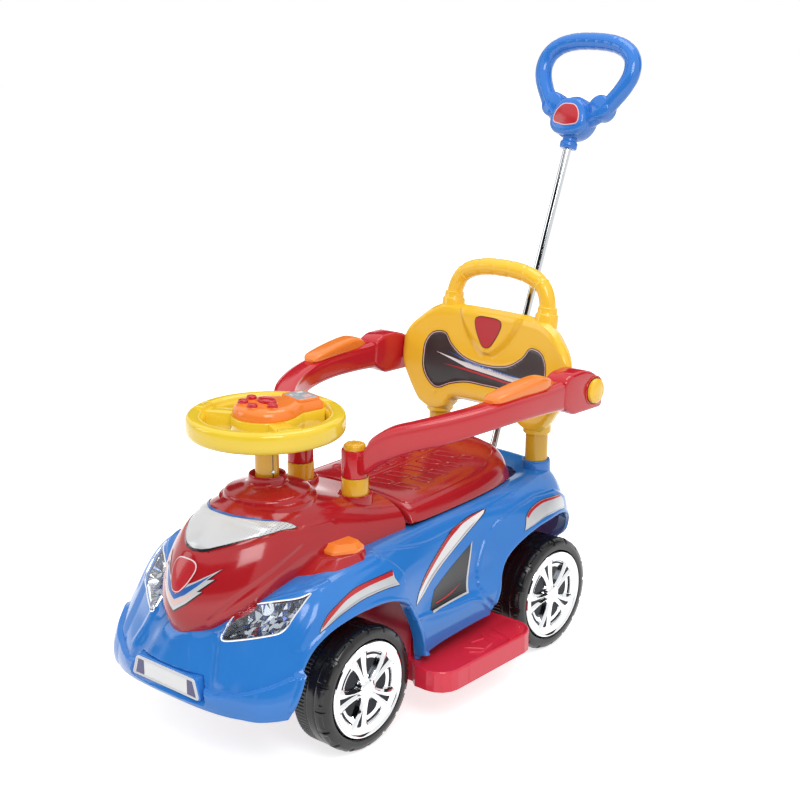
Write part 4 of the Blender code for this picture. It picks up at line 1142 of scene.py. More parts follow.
# Red bonnet: rows from the nose back to the seat, each from its lower edge to the middle
BONNET_ROWS = mm(
    ((40, -288, 149), (31, -299, 147), (21, -307, 146), (10, -313, 145), (0, -315, 145)),
    ((55, -279, 161), (46, -297, 163), (31, -311, 165), (15, -320, 166), (0, -323, 166)),
    ((72, -258, 178), (63, -280, 187), (45, -296, 193), (23, -311, 198), (0, -317, 201)),
    ((79, -237, 190), (74, -256, 206), (57, -272, 219), (30, -287, 230), (0, -294, 236)),
    ((84, -209, 197), (81, -225, 224), (64, -239, 246), (33, -249, 260), (0, -253, 266)),
    ((85, -176, 200), (80, -184, 234), (64, -190, 260), (33, -195, 275), (0, -197, 280)),
    ((89, -134, 202), (82, -134, 233), (64, -135, 256), (33, -136, 266), (0, -136, 268)),
    ((93, -90, 204), (85, -90, 231), (64, -90, 245), (33, -90, 249), (0, -90, 250)),
    ((97, -45.5, 205), (88, -45.5, 229), (64, -45.5, 240), (32, -45.5, 243), (0, -45.5, 244)),
)

# Red seat lid: rows from front to rear, each from its lower edge to the middle
SEAT_ROWS = mm(
    ((99, -42, 215), (93, -42, 215), (80, -42, 215), (45, -42, 215), (0, -42, 215)),
    ((99.5, -42.5, 218), (95, -42.5, 225), (80, -42.5, 235), (45, -42.5, 238.5), (0, -42.5, 239.5)),
    ((99.5, -30, 215), (96, -30, 228), (81, -30, 238.5), (45, -30, 242), (0, -30, 243)),
    ((98.5, 30, 215), (95, 30, 228.5), (80, 30, 239), (44, 30, 242), (0, 30, 243)),
    ((96, 90, 215), (92, 90, 230), (77, 90, 241), (42, 90, 244), (0, 90, 245)),
    ((90, 145, 215), (85, 144, 233), (70, 143, 245), (38, 142, 248), (0, 142, 249)),
    ((74, 183, 215), (69, 179, 235), (56, 174, 248), (31, 174, 251), (0, 174, 252)),
    ((42, 199, 215), (40, 195, 233), (34, 190, 246), (20, 189, 250), (0, 189, 251)),
    ((40, 201, 215), (36, 202, 215), (28, 203, 215), (15, 204, 215), (0, 204, 215)),
)

FRONT_ARCH = mm(
    (-286, 30), (-285, 86), (-276, 104), (-263, 128), (-246, 147), (-224, 159), (-194, 165), (-164, 166),
    (-138, 164), (-116, 157), (-102, 146), (-93, 126), (-85, 100), (-79, 70), (-79, 30))
REAR_ARCH = mm(
    (40, 30), (42, 96), (52, 112), (64, 133), (79, 150), (101, 162), (130, 170), (160, 173), (198, 172),
    (223, 163), (240, 148), (250, 125), (254, 100), (254, 30))
HEADLIGHT_EDGE = mm(
    (54.2, 149), (53, 170), (60, 179), (74.4, 183.2), (89.8, 186.7), (102.3, 189.2), (111.2, 191.8),
    (116.6, 196), (116.6, 184), (114.9, 174.9), (113.5, 165.4), (109, 159.8), (100.3, 156.7), (82, 152),
    (62.3, 147.9))
# Bumper band as seen from the nose, from the middle round to the wheel
BUMPER_BAND = mm(
    (-20, 111.8), (0, 111.6), (40.6, 110.6), (53.2, 102.2), (68.2, 99.4), (86, 101.5), (101.8, 105),
    (118.5, 111.4), (126.8, 116.5), (137.1, 122.6), (160, 129), (160, 50), (-20, 50))
PLATE_RECESS = mm((-100, 85), (58, 85), (60, 90), (50, 115), (-100, 115))
FRONT_FENDER = mm(
    (-100, 50), (-100, 93.2), (-101.5, 154.5), (-97.5, 182.9), (-103.5, 191.4), (-117, 206.4), (-125, 230),
    (-400, 230), (-400, 50))
REAR_FENDER = mm(
    (44.4, 50), (44.4, 100.6), (30, 115), (23.6, 129.6), (30, 150), (40, 165), (50.3, 177.8), (66.9, 188),
    (82.2, 193.5), (124.3, 200), (160, 203), (205, 199), (240, 180), (262, 130), (290, 50))


@dataclass(frozen=True)
class Crease:
    """A line moulded up or down on the left half and its mirror image."""

    points: Sequence[Solid3]
    half_width: float
    height: float
    count: int = 12


@dataclass(frozen=True)
class Step:
    """A raised or sunken region of a moulding, drawn flat, with a short slope just inside its outline."""

    outline: Sequence[Flat]
    height: float
    axes: tuple[int, int] = (1, 2)
    slope: float = 0.0018
    # Fades in along this axis, from the first place to the second
    fade: tuple[int, float, float] = (0, 0.098, 0.112)


BODY_CREASES = (
    # The valley that runs down the nose beside the bonnet's tip, and the flank beside it
    Crease(mm((34, -292, 162), (42, -312, 146), (50, -322, 128), (56, -330, 110)), 0.022, -0.003, 10),
    Crease(mm((54, -295, 147), (62, -310, 132), (70, -322, 112)), 0.009, 0.0014, 10),
    # The brow over the headlight
    Crease(
        mm((56, -282, 179), (74, -264, 186), (95, -243, 191), (112, -222, 196), (118, -205, 201)), 0.004,
        0.0014),
    # The top and foot of the side panel
    Crease(
        mm((109, -112, 206.5), (119, -52, 198.5), (120, 0, 200), (114.6, 79, 206), (112, 130, 210)), 0.003,
        -0.001),
    Crease(
        mm((149, -99.5, 127.4), (147, -72.8, 126.2), (148, -29.9, 120.8), (150, 13.8, 117.4),
        (151.7, 39.2, 98.7)), 0.004, 0.0012),
    # The front fender's crest
    Crease(
        mm((128, -262, 150), (133, -240, 176), (124, -216, 196), (120, -180, 204.5), (118, -130, 207.5)),
        0.01, 0.0012),
)
BODY_STEPS = (
    Step(BUMPER_BAND, 0.0046, (0, 2), 0.0026, (1, -0.2, -0.235)),
    Step(PLATE_RECESS, -0.0088, (0, 2), 0.005, (1, -0.29, -0.305)),
    Step(FRONT_FENDER, 0.0024, slope=0.0022),
    Step(REAR_FENDER, 0.0034, slope=0.0034),
)
BONNET_CREASES = (
    # Along the silver blade's edge, over the brow, and down the flank
    Crease(
        mm((0, -289.2, 235), (18.9, -286.3, 234.6), (35.1, -270.3, 238.2), (47.9, -251.1, 242.6),
        (59.4, -220.7, 248.9), (67, -195, 248)), 0.004, -0.0016, 10),
    Crease(
        mm((0, -252, 269), (30, -246, 265), (57, -228, 256), (72, -200, 248), (74, -150, 244)), 0.006, 0.0012,
        10),
    Crease(
        mm((36, -301, 165), (52, -282, 185), (66, -260, 201), (75, -232, 216), (78, -200, 229)), 0.005,
        -0.0012, 10),
)


def modelled(sheet: Shape, creases: Sequence[Crease], steps: Sequence[Step] = ()) -> Shape:
    """Adds the creases, ridges and steps that the tool has.

    Args:
        sheet: the smooth sheet.
        creases: its moulded lines.
        steps: its raised and sunken regions.

    Returns:
        The sheet with its relief.
    """
    half, tree = sheet.points.copy(), sheet.tree()
    half[:, 0] = np.abs(half[:, 0])
    lift = np.zeros(len(half))
    for crease in creases:
        line = curve_through(crease.points, crease.count)
        laid = np.array([tuple(tree.find_nearest(Vector(p))[0]) for p in line])
        far, _ = to_line(half, laid)
        lift += crease.height * np.clip(1 - (far / crease.half_width) ** 2, 0, 1) ** 2
    for step in steps:
        flat, edge = half[:, list(step.axes)], np.array(step.outline)
        far, _ = to_line(flat, edge, looped=True)
        axis, low, high = step.fade
        shown = np.clip((half[:, axis] - low) / (high - low), 0, 1) * inside(flat, edge)
        lift += step.height * shown * np.clip(far / step.slope, 0, 1)
    return Shape(sheet.points + sheet.normals() * lift[:, None], sheet.faces, sheet.tones)


def mirror_rows(rows: Sequence[Sequence[Solid3]]) -> list[list[Solid3]]:
    """Rows from one side's edge over the middle to the other's, from rows that end at the middle."""
    return [list(row) + [(-x, y, z) for x, y, z in reversed(row[:-1])] for row in rows]


@dataclass
class BodyShell:
    """The blue moulded body with its arches, lips and nose."""

    skin: float = 0.0032
    fineness: int = 5
    lip_width: float = 0.0066
    lip_height: float = 0.0015
    flange: float = 0.015

    def __post_init__(self) -> None:
        """Rounds the cage once, for the body itself and for what is laid on it."""
        right = [[(-x, y, z) for x, y, z in column] for column in reversed(BODY_COLUMNS[1:-1])]
        sheet = Shape.sheet(BODY_COLUMNS + right, looped=True).refined(self.fineness)
        self.sheet = modelled(sheet.facing_up(), BODY_CREASES, BODY_STEPS)
        self.tree = self.sheet.tree()

    def arch_lip(self, outline: Sequence[Flat]) -> Shape:
        """The rolled edge round a wheel arch, with the flange that goes in behind it.

        Args:
            outline: the arch in y and z.

        Returns:
            The lip on the left side.
        """
        line = curve_through([p for p in outline if p[1] > 0.05], 8)
        middle = line.mean(0)
        rows = []
        for i, spot in enumerate(line):
            ahead, behind = line[min(i + 1, len(line) - 1)], line[max(i - 1, 0)]
            along = (ahead - behind) / np.linalg.norm(ahead - behind)
            out = np.array([along[1], -along[0]])
            if out @ (spot - middle) < 0:
                out = -out
            row = []
            for reach, raised in (
                (0.0002, -self.flange), (0.0, -0.0006), (0.0004, self.lip_height * 0.7),
                (0.0014, self.lip_height), (0.0034, self.lip_height), (0.0046, self.lip_height * 0.6),
                (self.lip_width, -0.0006)):
                p = spot + out * reach
                landed = FROM_SIDE.land(self.tree, p)
                x = landed[0].x if landed else (row[-1][0] if row else 0.15)
                row.append((x + raised, p[0], p[1]))
            rows.append(row)
        return Shape.sheet(rows)

    def build(self) -> Pieces:
        """Makes the shell with its lips and post sockets."""
        sheet = self.sheet
        for arch in (FRONT_ARCH, REAR_ARCH):
            sheet = sheet.opened(
                lambda p: p[:, 1:3], densified(curve_through(arch, 4, True), 0.004),
                lambda p: np.abs(p[:, 0]) > 0.092)
        edge = Headlight.outline()
        sheet = sheet.opened(
            lambda p: np.column_stack([np.abs(p[:, 0]), p[:, 2]]), edge, lambda p: (p[:, 1] < -0.18))
        # The inside faces take the paler blue, a painted glow of light through the thin wall
        shell = sheet.thickened(self.skin, tone_inside=1)
        pieces = [make_piece("body_skin", shell, (BLUE, BLUE_INSIDE_PAINTED_GLOW), Slot.BLUE, ("body_shell",))]
        for arch, name in ((FRONT_ARCH, "front_arch_lips"), (REAR_ARCH, "rear_arch_lips")):
            pieces.append(make_piece(name, self.arch_lip(arch).both(), (BLUE,), Slot.BLUE))
        socket = Shape.lathe(
            mm((14.8, 198), (19, 198), (18.3, 222), (18, 224), (17.2, 225.5), (16.2, 225.8), (15.2, 225),
            (14.8, 223)), (*REAR_POST, 0.0), closed=True)
        pieces.append(make_piece("rear_post_sockets", socket.both(), (BLUE,), Slot.BLUE))
        return pieces


@dataclass
class Headlight:
    """A lamp let into the body: a faceted reflector behind a clear lens, in a thin frame."""

    shell: BodyShell
    depth: float = 0.015
    facet: float = 0.0042
    # Facets this near the middle of the car get the painted dark reflection; of the others, so many get the
    # painted blue reflection and up to so many the painted dark one
    painted_dark_until: float = 0.068
    painted_blue_share: float = 0.1
    painted_dark_share: float = 0.42
    # The bowl starts this far behind the lens and reaches its depth this far in from its edge
    behind: float = 0.003
    bowl_edge: float = 0.009

    @staticmethod
    def outline() -> np.ndarray:
        """The lamp's rounded outline in x and z."""
        return densified(round_corners(HEADLIGHT_EDGE, 0.008, 6), 0.002)

    def build(self) -> Pieces:
        """Makes both lamps."""
        edge, tree = self.outline(), self.shell.tree
        lens = draped(inset(edge, 0.0004), FROM_NOSE, tree, 0.0004, 0.003, 0.0012)
        flat, faces = fill_outline(densified(inset(edge, 0.0006), self.facet), self.facet)
        rng = random.Random(7)
        points = []
        for spot in flat:
            landed = FROM_NOSE.land(tree, spot)
            place, normal = landed if landed else (
                Vector((spot[0], -0.28, spot[1])), Vector((0.3, -0.9, 0.2)))
            far, _ = to_line(np.array([spot]), edge, looped=True)
            bowl = min(1.0, far[0] / self.bowl_edge)
            sink = self.behind + self.depth * (1 - (1 - bowl) ** 2) * (0.75 + 0.25 * rng.random())
            points.append(tuple(place - normal * sink))
        # Tone 1 is the painted blue reflection, tone 2 the painted dark reflection
        tones = []
        for face in faces:
            spark, inner = rng.random(), np.mean([flat[i][0] for i in face]) < self.painted_dark_until
            tones.append(1 if spark < self.painted_blue_share else 2 if spark < self.painted_dark_share or inner else 0)
        facets = Shape(np.array(points), faces, tones)
        path = [FROM_NOSE.land(tree, p) for p in inset(edge, 0.0002)]
        rim = Shape.tube(
            [tuple(p[0] + p[1] * 0.0002) for p in path if p], 0.0011, 8, True, level=(0.4, -0.8, 0.3))
        pieces = []
        for side in Side:
            tag = side.tag
            pieces += [
                make_piece(
                    "headlight_facets_" + tag, facets.on(side), (REFLECTOR, REFLECTOR_PAINTED_BLUE_REFLECTION, REFLECTOR_PAINTED_DARK_REFLECTION),
                    Slot.REFLECTOR, ("headlight_bowl_" + tag,), angle=1.0),
                make_piece(
                    "headlight_glass_" + tag, lens.on(side), (LENS,), Slot.LENS, ("headlight_lens_" + tag,)),
                make_piece("headlight_rim_" + tag, rim.on(side), (COVER_CHROME,), Slot.REFLECTOR),
            ]
        return pieces


@dataclass
class Bonnet:
    """The red cover over the nose and scuttle, with its lamp pads and column collar."""

    skin: float = 0.003
    fineness: int = 4

    def __post_init__(self) -> None:
        """Rounds the cage once, for the cover and for the stickers laid on it."""
        sheet = Shape.sheet(mirror_rows(BONNET_ROWS)).refined(self.fineness)
        self.sheet = modelled(sheet.facing_up(), BONNET_CREASES)
        self.tree = self.sheet.tree()

    def lamp_pad(self) -> Shape:
        """The raised shoulder that carries a fender lamp, on the left."""
        low = np.array(
            round_corners(mm((60, -218), (96, -218), (118.5, -194), (121.5, -142), (104, -122), (64, -113)),
            0.007, 6))
        high = np.array(
            round_corners(mm((60, -183), (86, -185), (106.5, -175), (113, -144), (103.5, -127), (64, -121)),
            0.007, 6))
        rows = []
        for t, z, shrink in (
            (-0.45, 0.19, 0.0), (0.0, 0.1995, 0.0), (0.92, 0.2128, 0.0), (0.98, 0.214, 0.0004),
            (1.0, 0.2147, 0.0014), (1.0, 0.2149, 0.003)):
            ring = inset(low * (1 - t) + high * t, shrink)
            rows.append([(a, b, z) for a, b in ring])
        return Shape.sheet(rows, around=True, capped=True)

    @staticmethod
    def lamp() -> Shape:
        """The orange lamp: a wedge with a slanting crown."""
        low = np.array(
            round_corners(mm((69, -172), (96, -173), (110, -149), (106, -131), (76, -126.5)), 0.003, 4))
        high = np.array(
            round_corners(mm((75, -165), (92.5, -163), (104.5, -145), (100.5, -135), (81, -133.5)), 0.003, 4))
        rows = []
        for t, z in (
            (0.0, 0.214), (0.02, 0.2176), (0.08, 0.2186), (0.8, 0.2226), (0.94, 0.2236), (1.0, 0.224)):
            rows.append([(a, b, z) for a, b in low * (1 - t) + high * t])
        return Shape.sheet(rows, around=True, capped=True)

    def build(self) -> Pieces:
        """Makes the cover, pads, collar and post bases."""
        collar = Shape.lathe(
            mm((14.5, 256), (56, 256), (55.2, 265), (54.5, 266.4), (52, 267.2), (50, 268.2), (49.2, 271.2),
            (48, 273.2), (45, 274.6), (30, 278.6), (26.2, 279.6), (23.2, 281.6), (21.8, 283.8), (21.4, 288),
            (21.2, 290), (20.4, 291.2), (19, 291.2), (18.2, 290), (17.8, 286), (14.5, 285)), (0, COLUMN_Y, 0),
            steps=96, closed=True)
        base = Shape.lathe(
            mm((16.2, 236), (22.5, 236), (21.2, 249), (20.6, 251.2), (19.2, 252.2), (17.2, 252), (16.2, 251)),
            (*FRONT_POST, 0.0), closed=True)
        pieces = [
            make_piece("bonnet_skin", self.sheet.thickened(self.skin), (RED,), Slot.RED, ("bonnet_cover",)),
            make_piece("bonnet_lamp_pads", self.lamp_pad().both(), (RED,), Slot.RED),
            make_piece("bonnet_column_collar", collar, (RED,), Slot.RED),
            make_piece("bonnet_post_bases", base.both(), (RED,), Slot.RED),
        ]
        dome = self.lamp()
        for side in Side:
            pieces.append(
                make_piece("fender_lamp_dome_" + side.tag, dome.on(side), (ORANGE,), Slot.ORANGE,
                ("fender_lamp_" + side.tag,)))
        return pieces


@dataclass
class SeatLid:
    """The red lid that is the seat, with its moulded tread."""

    skin: float = 0.003
    fineness: int = 4
    bead: float = 0.0016
    # The tread's blocks: how many rows, where the first starts and how far apart they are
    rows: int = 5
    first_row: float = -0.02
    row_pitch: float = 0.03
    # The blocks' inner and outer pairs of sides, and how much narrower each row is
    inner: Flat = (0.007, 0.036)
    outer: Flat = (0.041, 0.068)
    narrowing: float = 0.0028

    def build(self) -> Pieces:
        """Makes the lid and its raised lines."""
        sheet = Shape.sheet(mirror_rows(SEAT_ROWS)).refined(self.fineness).facing_up()
        tree = sheet.tree()
        top = Projector(Vector((1, 0, 0)), Vector((0, 1, 0)), Vector((0, 0, -1)), Vector((0, 0, 0.4)))
        beads: list[Shape] = []
        for loop in self.loops():
            path = densified(round_corners(loop, 0.0045, 4), 0.003)
            beads.append(bead_on(path, top, tree, self.bead, looped=True))
        beads.append(
            bead_on(curve_through(mm((0, 150), (0, 115), (0, 40), (0, -25)), 20), top, tree, self.bead))
        frame_half = mm(
            (0, 180), (27, 179), (56, 164), (74, 125), (82, 70), (85, 0), (85, -28), (78, -34), (0, -34.5))
        frame_line = densified(round_corners(mirrored_outline(frame_half), 0.012, 6), 0.004)
        beads.append(bead_on(frame_line, top, tree, self.bead, looped=True))
        lid = sheet.thickened(self.skin)
        relief = beads[0].plus(*beads[1:])
        return [
            make_piece("seat_skin", lid, (RED,), Slot.RED, ("seat_lid",), body="seat"),
            make_piece("seat_tread", relief, (RED,), Slot.RED, body="seat"),
        ]

    def loops(self) -> list[list[Flat]]:
        """The slanted blocks of the tread, as outlines from above."""
        made = []
        for k in range(self.rows):
            y = self.first_row + k * self.row_pitch
            blocks = (
                (self.inner[0], self.inner[1], mm(0, 8.5, 20, 15)),
                (self.outer[0], self.outer[1] - self.narrowing * k, mm(10, 19, 30, 21.5)),
            )
            for s in (1, -1):
                for near, far, slant in blocks:
                    made.append([(s * x, y + up) for x, up in zip((near, far, far, near), slant)])
        return made


@dataclass
class Base:
    """The red base with a foot rest each side."""

    half: float = 0.19
    corner: float = 0.026
    ends: Flat = (-0.094, 0.084)
    swing: float = -0.0862
    floor: float = 0.0695

    def outline(self) -> list[Flat]:
        """The plate's outline from above, stepped back behind the front tyres."""
        made = []
        for sx, end, start in ((1, 0, -90), (1, 1, 0), (-1, 1, 90), (-1, 0, 180)):
            middle = (sx * (self.half - self.corner), self.ends[end] + self.corner * (1 if end == 0 else -1))
            for k in range(13):
                a = math.radians(start + k * 7.5)
                made.append((middle[0] + self.corner * math.cos(a), middle[1] + self.corner * math.sin(a)))
        return made + [(-0.147, -0.094), (-0.137, self.swing), (0.137, self.swing), (0.147, -0.094)]

    def stroke(self, path: Sequence[Flat], radius: float = 0.0013) -> Shape:
        """A thin moulded stroke on the left foot rest.

        Args:
            path: its line from above.
            radius: half its width.

        Returns:
            The stroke.
        """
        step = 0.003
        closing = 1 + int(math.dist(path[0], path[-1]) / step)
        line = densified(path, step)[:-closing]
        return Shape.tube([(a, b, self.floor) for a, b in line], radius, 8, level=(0, 0, 1))

    def build(self) -> Pieces:
        """Makes the foot rests' rims and strokes, and dresses the base and what it carries."""
        rim = Shape.stack(
            self.outline(), [(0.0686, 0.0004), (0.07, 0.0004), (0.0708, 0.001), (0.0711, 0.002),
            (0.0708, 0.0032), (0.07, 0.0042), (0.0696, 0.005), (self.floor, 0.0056)])
        strokes = mm(
            ((151, 25), (159, 17), (155, -1), (152, -8)),
            ((158, -18.4), (170, -10), (178.3, -4.5), (174.5, 13.7), (154.6, 21.6)),
            ((155.5, 30.8), (170, 32.5), (182, 34.5)),
            ((170, -24), (179, -16), (182, -2)),
        )
        wedge = Shape.stack(
            round_corners(mm((150, 44), (170, 40), (183, 37), (183.8, 60), (166, 77.5), (148, 78)), 0.003),
            [(self.floor - 0.001, 0.0), (self.floor + 0.0006, 0.0), (self.floor + 0.0011, 0.0005),
            (self.floor + 0.0012, 0.0012)])
        pin = Shape.stack(
            round_corners(mm((182.8, 33), (186.8, 33), (186.8, 41), (182.8, 41)), 0.001),
            mm((69, 0), (71.6, 0.1), (71.9, 0.4)))
        seam = Shape.stack(
            mm((189.7, -48.8), (190.3, -48.6), (190.3, -48.2), (189.7, -48)), [(0.0466, 0.0), (0.0694, 0.0)])
        pieces = [
            # The base's finish carries a painted sheen in its colour
            make_piece("base_rim", rim, (BASE_RED_WITH_PAINTED_SHEEN,), Slot.RED),
            make_piece(
                "base_tread", wedge.plus(pin, seam, *map(self.stroke, strokes)).both(), (BASE_RED_WITH_PAINTED_SHEEN,),
                Slot.RED),
        ]
        dress_node("chassis", BASE_RED_WITH_PAINTED_SHEEN, Slot.RED, 0.8)
        for node, finish, slot in (
            ("rear_axle", STEEL, Slot.AXLE), ("lid_pin", STEEL, Slot.AXLE),
            ("steering_rod", STEEL, Slot.AXLE), ("tie_rod", BLACK, Slot.BLACK),
            ("knuckle_l", BLACK, Slot.BLACK), ("knuckle_r", BLACK, Slot.BLACK)):
            dress_node(node, finish, slot, 0.3)
        return pieces


@dataclass
class RoadWheel:
    """A blow-moulded tyre with shoulder blocks, and its metallised five-spoke cover."""

    radius: float = 0.0712
    steps: int = 480
    blocks: int = 16
    block_height: float = 0.0019
    hollow_depth: float = 0.0009
    groove_depth: float = 0.001
    fins: int = 96
    fin_depth: float = 0.0009
    # The pattern is moulded from this radius outwards, and its blocks stop this far above the ground
    pattern_from: float = 0.0655
    ground_gap: float = 0.0001
    spokes: int = 5
    # The curved slit outside each pocket: its inner and outer radius, and half its angle in degrees
    slit: Flat = (0.0395, 0.0417)
    slit_half: float = 17.0

    def tyre(self) -> Shape:
        """The tyre about the x axis, its outside towards +x."""
        tread = mm((98.5, 54.5), (98.5, 60), (98.5, 64), (99, 66.2), (100.4, 68.6), (102.5, 70))
        tread += [(0.104 + 0.0013 * k, self.radius) for k in range(28)]
        tread += mm(
            (140.2, 70.8), (141.6, 70.3), (143, 69.7), (144.4, 69), (145.7, 68.2), (146.8, 67.3),
            (147.7, 66.3), (148.4, 65.2), (148.9, 64), (149.1, 62), (149.1, 60), (148.9, 58.4), (148.2, 57.5),
            (147, 57), (140, 56.6), (138.5, 56))
        hub = mm(
            (138.5, 50), (119, 50), (119, 13), (138, 13), (138, 4.5), (100, 4.5), (100, 13), (113, 13),
            (113, 52))
        angles = full_turn(self.steps)
        rows = []
        for x, r in tread + hub:
            lift = self.pattern(x, r, angles) if r > self.pattern_from else np.zeros(self.steps)
            rows.append(
                np.column_stack([np.full(self.steps, x), (r + lift) * np.cos(angles), (r + lift)
                * np.sin(angles)]))
        return Shape.sheet(rows, looped=True, around=True)

    def pattern(self, x: float, r: float, angles: np.ndarray) -> np.ndarray:
        """How far the tread stands out of or into the tyre at one place along the axle.

        Args:
            x: the place.
            r: the plain radius there.
            angles: the places round the wheel.

        Returns:
            The height at each angle.
        """
        def band(low: float, high: float, soft: float = 0.0007) -> float:
            """One between two places along the axle, falling softly to nought outside them."""
            return float(np.clip((x - low) / soft, 0, 1) * np.clip((high - x) / soft, 0, 1))

        within = np.abs((angles * self.blocks / (2 * math.pi)) % 1.0 - 0.5)
        block = np.clip((0.43 - within) / 0.03, 0, 1) * band(0.1345, 0.1484)
        hollow = np.clip((0.31 - within) / 0.05, 0, 1) * band(0.1385, 0.1452)
        rib = np.clip((0.5 + 0.5 * np.cos(angles * self.fins) - 0.45) / 0.25, 0, 1)
        groove = band(0.1205, 0.1222) + band(0.1322, 0.1338)
        lift = self.block_height * block - self.hollow_depth * hollow - self.groove_depth * groove
        lift -= self.fin_depth * (1 - rib) * band(0.103, 0.119)
        return np.minimum(lift, AXLE_Z - self.ground_gap - r)

    def cover(self) -> Shape:
        """The cover about the x axis; its tones are chrome and the painted shade of its recesses."""
        ring = Shape.lathe(
            mm((42.8, 139.2), (42.8, 145.2), (43.6, 146.4), (45, 147), (50, 148), (51.2, 148), (52, 149),
            (53.4, 149.8), (54.8, 149.5), (55.6, 148), (55.7, 144), (55.7, 139.2)), axis="X", steps=180,
            closed=True)
        dish = Shape.lathe(
            mm((0, 139.2), (43.2, 139.2), (43.2, 144.6), (40, 144), (33, 142), (0, 141.2)), axis="X",
            steps=120)
        hub = Shape.lathe(
            mm((0, 139.2), (13.6, 139.2), (13.4, 146.2), (12.6, 147.8), (11.2, 148.4), (10.4, 149), (8, 150),
            (5, 150.6), (0, 150.8)), axis="X", steps=72)
        parts = [ring, dish, hub]
        # The pockets and the slits take tone 1, painted shade in these recesses
        pocket = Shape.stack(
            round_corners(mm((-3.6, 15), (3.6, 15), (11.8, 29), (9, 34), (0, 35.6), (-9, 34), (-11.8, 29)),
            0.003, 4), mm((140.4, 0), (142.4, 0), (142.7, 0.3)), axis="X").toned(1)
        sweep = np.radians(np.linspace(-self.slit_half, self.slit_half, 11))
        arc = [
            (r * math.sin(a), r * math.cos(a)) for r, line in zip(self.slit, (sweep, sweep[::-1]))
            for a in line]
        slit = Shape.stack(arc, mm((143, 0), (144.9, 0), (145, 0.1)), axis="X").toned(1)
        for k in range(self.spokes):
            parts.append(self.spoke().moved(Matrix.Rotation(2 * math.pi * (k + 0.25) / self.spokes, 4, "X")))
            between = Matrix.Rotation(2 * math.pi * (k + 0.75) / self.spokes, 4, "X")
            parts += [pocket.moved(between), slit.moved(between)]
        return parts[0].plus(*parts[1:])

    def spoke(self) -> Shape:
        """One spoke along +z: a pair of ridged blades that part and widen towards the rim."""
        blades = []
        for s in (1, -1):
            rows = []
            for z, centre, half, ridge in mm(
                (9, 3, 3.2, 148.6), (16, 3, 2.9, 148.8), (24, 3.7, 3.1, 148.9), (32, 5.4, 3.8, 148.8),
                (39, 7.8, 5, 148.5), (45, 10.4, 6.4, 148)):
                c = s * centre
                rows.append(
                    [(0.14, c - half, z), (0.1462, c - half, z), (0.1467, c - half * 0.86, z),
                    (ridge, c - half * 0.12, z), (ridge, c + half * 0.12, z), (0.1467, c + half * 0.86, z),
                    (0.1462, c + half, z), (0.14, c + half, z)])
            blades.append(Shape.sheet(rows, around=True, capped=True))
        # The slot between the blades takes tone 1, painted shade
        slot = Shape.stack(
            mm((-0.3, 23), (0.3, 23), (3, 42), (0, 43.6), (-3, 42)), mm((140.4, 0), (145.6, 0), (145.8, 0.2)),
            axis="X").toned(1)
        return blades[0].plus(blades[1], slot)

    def build(self) -> Pieces:
        """Makes the four wheels."""
        tyre, cover = self.tyre(), self.cover()
        pieces = []
        for y, row in ((FRONT_Y, "front"), (REAR_Y, "rear")):
            for side in Side:
                tag, body = row[0] + side.tag, f"{row}_wheel_{side.tag}"
                place = Matrix.Translation((0, y, AXLE_Z))
                if side is Side.RIGHT:
                    place = place @ Matrix.Rotation(math.pi, 4, "Z")
                pieces.append(
                    make_piece("tyre_tread_" + tag, tyre.moved(place), (TYRE,), Slot.TYRE, ("tyre_" + tag,),
                    body=body, angle=30.0))
                pieces.append(
                    make_piece("wheel_chrome_" + tag, cover.moved(place), (COVER_CHROME, RECESS_PAINTED_SHADE), Slot.COVER,
                    ("wheel_cover_" + tag,), body=body, angle=24.0))
        return pieces


